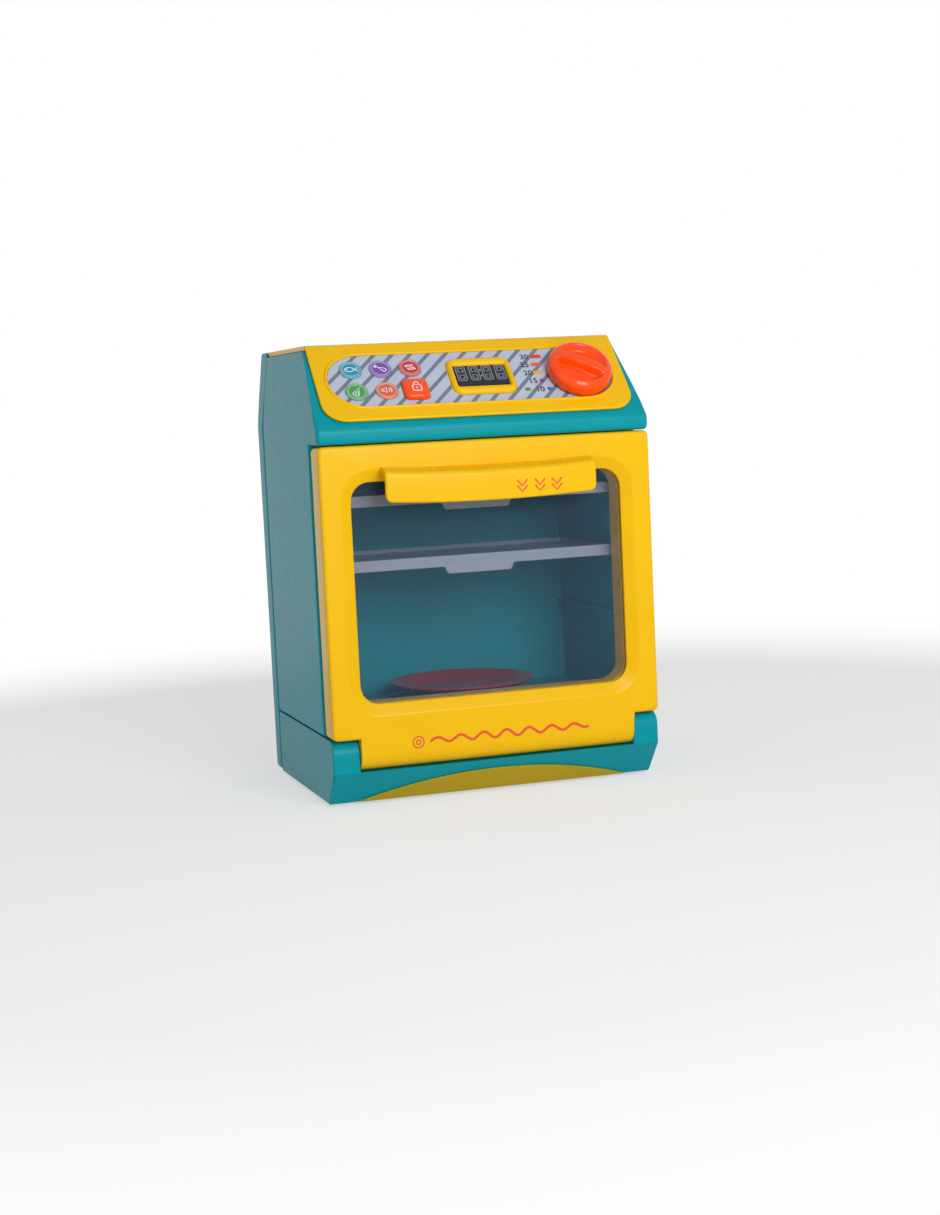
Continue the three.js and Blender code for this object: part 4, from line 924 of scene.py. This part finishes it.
class OVEN_OT_casing(bpy.types.Operator):
    """Builds the casing, base, rear cover, feet and screws"""

    bl_idname = "oven.casing"
    bl_label = "Casing"

    def execute(self, context):
        for name in ("outer_housing", "rear_cover", "base_tray", "battery_hatch"):
            moulding(name)
        moulding("base_arc_trim", width=0.25 * MM, shape=arc_drawn_up, material=mustard_abs())
        for name in BODY_OF:
            if name.startswith(("cover_screw", "foot_")) or name == "hatch_screw":
                moulding(name, FINE_EDGE)
        return {"FINISHED"}


# Print: pictograms in a square from -1 to 1, as (points, closed)


def arc(centre, radius, start, end, count=12):
    """Points of a circle's arc between two angles in degrees."""
    return on_circle(centre, radius, np.radians(np.linspace(start, end, count)))


def fish_sign():
    """An oval body whose width follows half a sine, a forked tail and an eye."""
    t = round_angles(36)
    body = np.stack([-0.2 + 0.6 * np.cos(t), 0.38 * np.sin(t)], 1)
    tail = np.array([(0.4, 0.0), (0.88, 0.36), (0.74, 0.0), (0.88, -0.36)])
    return [(body, True), (tail, True), (disc_line((-0.5, 0.08), 0.05, 10), True)]


def drumstick_sign():
    """A drop, an oval whose width grows along it by a cosine, and a bone with two knuckles."""
    t = round_angles(32)
    along = 0.28 - 0.5 * np.cos(t)
    wide = 0.36 * np.sin(t) * (0.65 - 0.35 * np.cos(t))
    drop = np.stack(rotated(along, wide, math.radians(-32)), 1)
    bone = np.array([(-0.2, 0.12), (-0.4, 0.26), (-0.6, 0.4)])
    knuckles = [(disc_line(at, 0.1, 12), True) for at in ((-0.7, 0.34), (-0.58, 0.52))]
    return [(drop, True), (bone, False), *knuckles]


def strips_sign():
    """Two slanting strips, the lower one a little to the right."""
    strip = np.array([(-0.6, 0.02), (0.46, 0.2), (0.6, -0.02), (-0.46, -0.2)])
    return [(strip + shift, True) for shift in ((-0.12, 0.26), (0.12, -0.26))]


def slice_sign():
    """A wedge with a rounded back and three dots."""
    wedge = np.concatenate([arc((0.0, -0.1), 0.72, 200, 275, 8), [(0.42, 0.62)]])
    dots = [(disc_line(at, 0.07, 10), True) for at in ((-0.22, -0.38), (0.06, -0.12), (0.16, -0.48))]
    return [(wedge, True), *dots]


def speaker_sign():
    """A speaker's side view with two arcs of sound."""
    horn = np.array([(-0.7, 0.18), (-0.42, 0.18), (-0.08, 0.5), (-0.08, -0.5), (-0.42, -0.18), (-0.7, -0.18)])
    waves = [(arc((-0.1, 0), radius, -38, 38, 9), False) for radius in (0.42, 0.72)]
    return [(horn, True), *waves]


def padlock_sign():
    """A rounded body, a shackle over it and a keyhole."""
    body = outline(rectangle((0, -0.26), (0.56, 0.48)), 0.16, corner_steps=4)
    shackle = np.concatenate([[(-0.32, 0.22)], arc((0, 0.42), 0.32, 180, 0, 12), [(0.32, 0.22)]])
    return [(body, True), (shackle, False), (disc_line((0, -0.24), 0.09, 12), True)]


SIGNS = {
    "key_blue": fish_sign,
    "key_purple": drumstick_sign,
    "key_red": strips_sign,
    "key_green": slice_sign,
    "key_amber": speaker_sign,
    "power_button": padlock_sign,
}


def put_sign(name, centre, half, base):
    """Draws a key's pictogram as raised ink on its cap and lets it ride with the key."""
    wide, thick = sizes().stroke, 0.12 * MM
    place = lifted(on_panel, base)
    lines = [stroke(centre + path * half, wide, thick, place, closed) for path, closed in SIGNS[name]()]
    place_print(lines, f"{name}_sign", name, printed("pale_key_ink", tuple(colours().mark)))


class OVEN_OT_door(bpy.types.Operator):
    """Builds the door frame, its handle, the window, the rear frame and the print"""

    bl_idname = "oven.door"
    bl_label = "Door"

    def execute(self, context):
        skin = 0.05 * MM
        moulding("door_outer_frame", cut=((0, front_y - skin, 0), (0, -1, 0)))
        moulding("door_inner_frame")
        self.handle()
        moulding("door_window", FINE_EDGE)
        for name in ("hinge_pin_left", "hinge_pin_right"):
            moulding(name, FINE_EDGE)
        ink = printed("red_door_ink", tuple(colours().print_red))
        self.chevrons(ink)
        self.warm_wave(ink)
        return {"FINISHED"}

    def handle(self):
        """Handle lip: a hooked profile carried across the door, bowed outwards and sagging as 1 - t * t.

        Towards both ends the profile shrinks along a quarter circle of radius end, and its low edge rises
        along one of radius corner, so the lip ends in rounded edges and rounded lower corners.
        """
        top, low, thick, sag, gap = 185.2 * MM, 166.0 * MM, 3.0 * MM, 2.0 * MM, 0.02 * MM
        reach = front_y - door_low[1] - HANDLE_BOW - gap
        root, root_thick, under, fall = -1.5 * MM, 3.6 * MM, 6.6 * MM, 2.6 * MM
        profile = [
            (root, top - root_thick),
            (reach - thick, top - under),
            (reach - thick, low),
            (reach, low),
            (reach, top - fall),
            (root, top),
        ]
        radii = np.array([0.2, 2.0, 1.3, 1.3, 3.2, 0.2]) * MM
        end, corner, rows_round, rows_plain = 1.3 * MM, 3.6 * MM, 9, 20
        turn = np.linspace(0, math.pi / 2, rows_round)
        corner_rows = np.linspace(end, corner, rows_round)[1:]
        plain_rows = np.linspace(corner, grip_half, rows_plain)[1:]
        from_end = np.concatenate([end * (1 - np.cos(turn)), corner_rows, plain_rows])
        inset = np.concatenate([end * (1 - np.sin(turn)), np.zeros(len(from_end) - len(turn))])
        lift = corner - np.sqrt(corner**2 - np.maximum(corner - from_end, 0) ** 2)
        away = np.concatenate([from_end - grip_half, (grip_half - from_end)[-2::-1]])
        inset = np.concatenate([inset, inset[-2::-1]])
        lift = np.concatenate([lift, lift[-2::-1]])[:, None]
        rows = [outline(profile, radii, step) for step in inset]
        out, up = np.moveaxis(np.stack(rows), -1, 0)
        middle = (1 - (away / grip_half) ** 2)[:, None]
        up = up + lift * np.clip((top - up) / (top - low), 0, 1)
        out = out + HANDLE_BOW * middle * (out > 0)
        grid = np.stack([grip_middle + away[:, None] + 0 * out, front_y - out, up - sag * middle], -1)
        mesh = surface(grid, cap_first=True, cap_last=True)
        tidy_mesh(mesh, sharp_degrees=50)
        place_moulded(mesh, "door_handle", "door_outer_frame", "yellow_plastic")

    def chevrons(self, ink):
        """Three pairs of plain chevrons on the handle that say which way the door moves."""
        half, tall = 2.9, 3.4
        lines = []
        for x in (14.8, 25.1, 34.9):
            for low in (167.6, 170.8):
                path = np.array([(x - half, low + tall), (x, low), (x + half, low + tall)]) * MM
                lines.append(stroke(path, 1.0 * MM, sizes().print_height, on_handle))
        place_print(lines, "handle_chevrons", "door_outer_frame", ink)

    def warm_wave(self, ink):
        """Ornament under the window: a sine wave whose height swells in its middle, and a ring in a ring."""
        start, stop, level, rise, pitch, points = -41, 52, 34.8, 1.9, 13.3, 220
        across = np.linspace(start, stop, points)
        swell = 0.6 + 0.4 * np.sin(math.pi * (across - start) / (stop - start))
        height = level + rise * swell * np.sin(2 * math.pi * across / pitch)
        thick, ring_middle = sizes().print_height, np.array([-47.5, 34.4]) * MM
        lines = [stroke(np.stack([across, height], 1) * MM, 1.5 * MM, thick, on_front)]
        for radius in (3.1, 1.2):
            lines.append(stroke(disc_line(ring_middle, radius * MM), 0.8 * MM, thick, on_front, closed=True))
        place_print(lines, "door_wave", "door_outer_frame", ink)


class OVEN_OT_cavity(bpy.types.Operator):
    """Builds the liner, trays, turntable plate and lamp lens"""

    bl_idname = "oven.cavity"
    bl_label = "Cavity"

    def execute(self, context):
        for name in ("cavity_liner", "lower_tray", "upper_tray", "turntable_plate", "lamp_lens"):
            moulding(name, width=0.4 * MM)
        return {"FINISHED"}


class OVEN_OT_panel(bpy.types.Operator):
    """Builds the control panel's moulding, its bezel and rim, the printed film and the display"""

    bl_idname = "oven.panel"
    bl_label = "Panel"

    def execute(self, context):
        centre, half, top = panel_place("display_lens")
        bezel_half = half + np.array([3.6, 6.0]) * MM
        ground, margin = 0.3 * MM, 1.0 * MM

        def level(points):
            """Lowers the solid's own bezel to the ground under its finished ring."""
            local = in_panel(points)
            near = np.all(np.abs(local[:, :2] - centre) < bezel_half + margin, 1)
            local[near & (local[:, 2] > ground), 2] = ground
            return on_panel(*local.T)

        moulding("control_fascia", width=1.0 * MM, shape=level)
        moulding("label_plate", width=0.1 * MM)
        moulding("display_lens", width=0.2 * MM)
        self.rim()
        outer_corner, inner_corner, over_ground, over_window = 6.0 * MM, 0.6 * MM, 0.15 * MM, 0.1 * MM
        outer = outline(rectangle(centre, bezel_half + over_ground), outer_corner, corner_steps=12)
        inner = outline(rectangle(centre, half + over_window), inner_corner, corner_steps=12)
        sunk, crest = -0.25 * MM, 2.1 * MM
        bezel = ring(outer, inner, sunk, crest, on_panel, steps=16)
        place_moulded(bezel, "display_bezel", "control_fascia", "yellow_plastic")
        self.digits(centre, top)
        self.scale()
        return {"FINISHED"}

    def rim(self):
        """Thin raised bead round the printed film, a half-round section carried along its outline."""
        centre, half, _ = panel_place("label_plate")
        bead, tall, sunk, flat = 0.9 * MM, 1.05 * MM, -0.1 * MM, 0.05 * MM
        corner = half[1] + bead - flat
        path = outline(rectangle(centre, half + bead), corner, corner_steps=28, side_steps=10)
        mesh = stroke(path, 2 * bead, tall, lifted(on_panel, sunk), closed=True)
        tidy_mesh(mesh)
        place_moulded(mesh, "film_rim", "control_fascia", "yellow_plastic")

    def digits(self, centre, top):
        """Four unlit figures of eight and a colon: dim segments, and thin outlines round and inside them."""
        lines, bodies = [], []
        place = lifted(on_panel, top - 0.01 * MM)
        raised, loop, thick = 1.7, 2.35, sizes().print_height

        def loop_line(x, y, half, corner, wide, height):
            """Line round a rounded rectangle whose middle is x, y from the window's, in millimetres."""
            corners = rectangle(centre + np.array([x, y]) * MM, np.array(half) * MM)
            path = outline(corners, corner * MM, corner_steps=4)
            return stroke(path, wide * MM, height, place, closed=True)

        for x in (-11.3, -3.75, 3.75, 11.3):
            for y in (raised + loop, raised - loop):
                bodies.append(loop_line(x, y, (1.95, loop), 0.5, 1.3, 0.02 * MM))
            lines.append(loop_line(x, raised, (2.7, 5.45), 1.3, 0.34, thick))
            for y in (raised + 2.6, raised - 2.6):
                lines.append(loop_line(x, y, (1.25, 1.35), 0.2, 0.34, thick))
        for y in (raised + 2.2, raised - 2.2):
            dot = disc_line(centre + np.array([0, y]) * MM, 0.3 * MM, 12)
            lines.append(stroke(dot, 0.5 * MM, thick, place, closed=True))
        dim_share = 0.1
        dim = printed("dim_segment_ink", tuple(np.array(colours().segment) * dim_share))
        place_print(bodies, "display_segments", "display_lens", dim)
        ink = printed("grey_segment_ink", tuple(colours().segment))
        place_print(lines, "display_digits", "display_lens", ink)

    def scale(self):
        """Figures of the timer scale with a coloured mark at each, at places across and up in millimetres."""
        place = lifted(on_panel, panel_place("label_plate")[2])
        figures = [
            ("30", (34.0, 13.6)),
            ("25", (32.6, 7.5)),
            ("20", (32.9, 1.1)),
            ("15", (34.6, -5.2)),
            ("10", (37.1, -11.8)),
        ]
        tall, thick = sizes().figure_height, sizes().print_height
        inks = [lettering(body, tall, np.array(spot) * MM, place, thick) for body, spot in figures]
        place_print(inks, "timer_figures", "label_plate", printed("dark_figure_ink", tuple(colours().ink)))
        marks = [
            ("red", (40.85, 13.6), 3.35, "#D8322F"),
            ("orange", (38.9, 7.5), 2.8, "#E2582A"),
            ("yellow", (38.75, 1.1), 2.45, "#EFA41E"),
            ("purple", (39.6, -5.2), 1.5, "#7A2FA0"),
            ("blue", (42.2, -11.8), 1.5, "#1F6FD0"),
            ("green", (29.5, -11.5), 1.8, "#2E9A3E"),
        ]
        edge, most_tall = 0.02, 1.35
        for name, spot, half, code in marks:
            half_tall = min(half, most_tall)
            corners = rectangle(np.array(spot) * MM, np.array([half, half_tall]) * MM)
            mesh = rounded_plate(corners, (half_tall - edge) * MM, 0, thick, edge * MM, place, steps=2)
            ink = printed(f"{name}_mark_ink", srgb(code))
            place_piece(mesh, f"timer_mark_{name}", BODY_OF["label_plate"], ink)


class OVEN_OT_keys(bpy.types.Operator):
    """Builds the round keys, the power button and the knob"""

    bl_idname = "oven.keys"
    bl_label = "Keys and knob"

    def execute(self, context):
        for name in BODY_OF:
            if name.startswith("key_") and "switch" not in name:
                self.round_key(name)
        self.power()
        self.knob()
        return {"FINISHED"}

    def round_key(self, name):
        """Round key: a raised rim, a groove with a pale printed ring and a slightly domed disc.

        Rim and disc are profiles turned about the key's middle, from their outer foot over the crest inwards.
        """
        moulding(name, FINE_EDGE)
        centre, _, top = panel_place(name)
        radius, lighter_share, pale_share = 6.25, 0.16, 0.5
        slot = SLOT_OF[name]
        tint = np.array(getattr(colours(), f"{name.removeprefix('key_')}_key"))
        rim_radii = radius - np.array([0, 0, 0.12, 0.4, 0.75, 1.05, 1.15])
        rim_rise = np.array([-0.8, -0.1, 0.18, 0.36, 0.34, 0.16, -0.3])
        disc_radii = np.array([radius - 1.0, radius - 1.0, radius - 1.15, radius - 1.5, 3.4, 2.0, 0.8, 0.01])
        disc_rise = np.array([-0.5, 0.02, 0.12, 0.22, 0.3, 0.36, 0.4, 0.4])
        rim = turned(rim_radii * MM, top + rim_rise * MM, centre, on_panel)
        # The raised rim is drawn in the key's tint made lighter towards white by lighter_share.
        lighter = printed(f"{name}_rim_lacquer", tuple(tint + (1 - tint) * lighter_share))
        place_piece(rim, f"{name}_rim", BODY_OF[name], lighter)
        disc = turned(disc_radii * MM, top + disc_rise * MM, centre, on_panel)
        place_moulded(disc, f"{name}_disc", name, slot)
        ring_radius, ring_wide, ring_tall = 4.75 * MM, 0.4 * MM, 0.1 * MM
        on_disc = lifted(on_panel, top + 0.2 * MM)
        line = stroke(disc_line(centre, ring_radius), ring_wide, ring_tall, on_disc, closed=True)
        pale = printed(f"{name}_ring_ink", tuple(tint + (np.array(colours().mark) - tint) * pale_share))
        place_piece(line, f"{name}_ring", BODY_OF[name], pale)
        put_sign(name, centre, half=4.2 * MM, base=top + 0.33 * MM)

    def power(self):
        """Power button: a rounded square with soft shoulders and a slight crown."""
        centre, _, top = panel_place("power_button")
        half, corner, sunk, shoulder, crown = 7.4 * MM, 3.7 * MM, -0.6 * MM, 2.4 * MM, 0.4 * MM
        moulding("power_button", width=0.4 * MM, shape=tucked(centre, floor=0.2 * MM, share=0.8, keep=0.6))
        corners = rectangle(centre, (half, half))
        cap = rounded_plate(corners, corner, sunk, top - crown, shoulder, on_panel, steps=8, crown=crown)
        tidy_mesh(cap)
        place_moulded(cap, "power_cap", "power_button", "orange_plastic")
        put_sign("power_button", centre, half=4.3 * MM, base=top - 0.12 * MM)

    def knob(self):
        """Knob: a dome of revolution with two lens hollows beside a leaf-shaped grip.

        The height at (u, v), u along the grip, is the dome's height less depth * a * b. a steps from 0 to 1
        as |v| passes the grip's edge, and b as the radius falls below the hollow's rim. A pip, a small bell
        of height exp(-r * r), stands in one hollow.
        """
        centre = in_panel(knob_centre[None])[0][:2]
        _, half, top = panel_place("timer_knob")
        radius, low, depth, rim, grip = half.min(), 1.0 * MM, 4.9 * MM, 3.0 * MM, 2.7 * MM
        wall_from, wall_to, bowl_wide, taper = -0.3 * MM, 1.4 * MM, 4.2 * MM, 0.25
        pip_u, pip_v, pip_wide, pip_tall = 0.6 * MM, 7.4 * MM, 0.45 * MM, 0.35 * MM
        sweep = np.linspace(0.0, math.pi / 2, 64)[1:]
        share = np.concatenate([[0.97, 1, 1, 1], np.cos(sweep)])
        share[-1] = 1e-4
        rise = np.concatenate([[0.0, 0.02, 0.2, 0.4], 0.4 + 0.6 * np.sin(sweep) ** 0.8])
        angle = round_angles(256)
        away = radius * share[:, None] + 0 * angle
        u, v = away * np.cos(angle), away * np.sin(angle)
        high = low + (top - low) * rise[:, None] + 0 * angle
        edge = grip * (1 - taper * (u / radius) ** 2)
        wall = smooth(wall_from, wall_to, np.abs(v) - edge)
        bowl = smooth(0.0, bowl_wide, radius - rim - away)
        pip = np.exp(-((u - pip_u) ** 2 + (v - pip_v) ** 2) / pip_wide**2)
        high = high - depth * wall * bowl + pip_tall * pip
        across, up = rotated(u, v, KNOB_TURN)
        mesh = surface(on_panel(centre[0] + across, centre[1] + up, high), cap_first=True, cap_last=True)
        tidy_mesh(mesh, sharp_degrees=70)
        moulding("timer_knob", FINE_EDGE, shape=tucked(centre, floor=0.9 * MM, share=0.6, keep=0.45))
        place_moulded(mesh, "knob_cap", "timer_knob", "orange_plastic")


class OVEN_OT_works(bpy.types.Operator):
    """Finishes the drive, boards, switches and cells inside the casing"""

    bl_idname = "oven.works"
    bl_label = "Works"

    def execute(self, context):
        inside = [name for name, solid in frame["nodes"].items() if not solid.hide_render]
        for name in inside:
            moulding(name, FINE_EDGE)
        return {"FINISHED"}


class OVEN_PT_panel(bpy.types.Panel):
    """Lists the oven's builders"""

    bl_label = "Play Oven"
    bl_space_type = "VIEW_3D"
    bl_region_type = "UI"
    bl_category = "Play Oven"

    def draw(self, context):
        for builder in BUILDERS:
            self.layout.operator(builder.bl_idname)
        for group in (context.scene.oven_colours, context.scene.oven_sizes, context.scene.oven_view):
            column = self.layout.column()
            for name in group.__annotations__:
                column.prop(group, name)


BUILDERS = (
    OVEN_OT_stage,
    OVEN_OT_casing,
    OVEN_OT_door,
    OVEN_OT_cavity,
    OVEN_OT_panel,
    OVEN_OT_keys,
    OVEN_OT_works,
)
CLASSES = (OvenColours, OvenSizes, OvenView, *BUILDERS, OVEN_PT_panel)


def register():
    """Adds the classes and their settings to the scene type."""
    for each in CLASSES:
        bpy.utils.register_class(each)
    bpy.types.Scene.oven_colours = PointerProperty(type=OvenColours)
    bpy.types.Scene.oven_sizes = PointerProperty(type=OvenSizes)
    bpy.types.Scene.oven_view = PointerProperty(type=OvenView)


def unregister():
    """Takes the settings and the classes away again, in reverse."""
    del bpy.types.Scene.oven_view
    del bpy.types.Scene.oven_sizes
    del bpy.types.Scene.oven_colours
    for each in reversed(CLASSES):
        bpy.utils.unregister_class(each)


def main():
    """Registers the add-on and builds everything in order."""
    register()
    for builder in BUILDERS:
        group, name = builder.bl_idname.split(".")
        getattr(getattr(bpy.ops, group), name)()


if __name__ == "__main__":
    main()
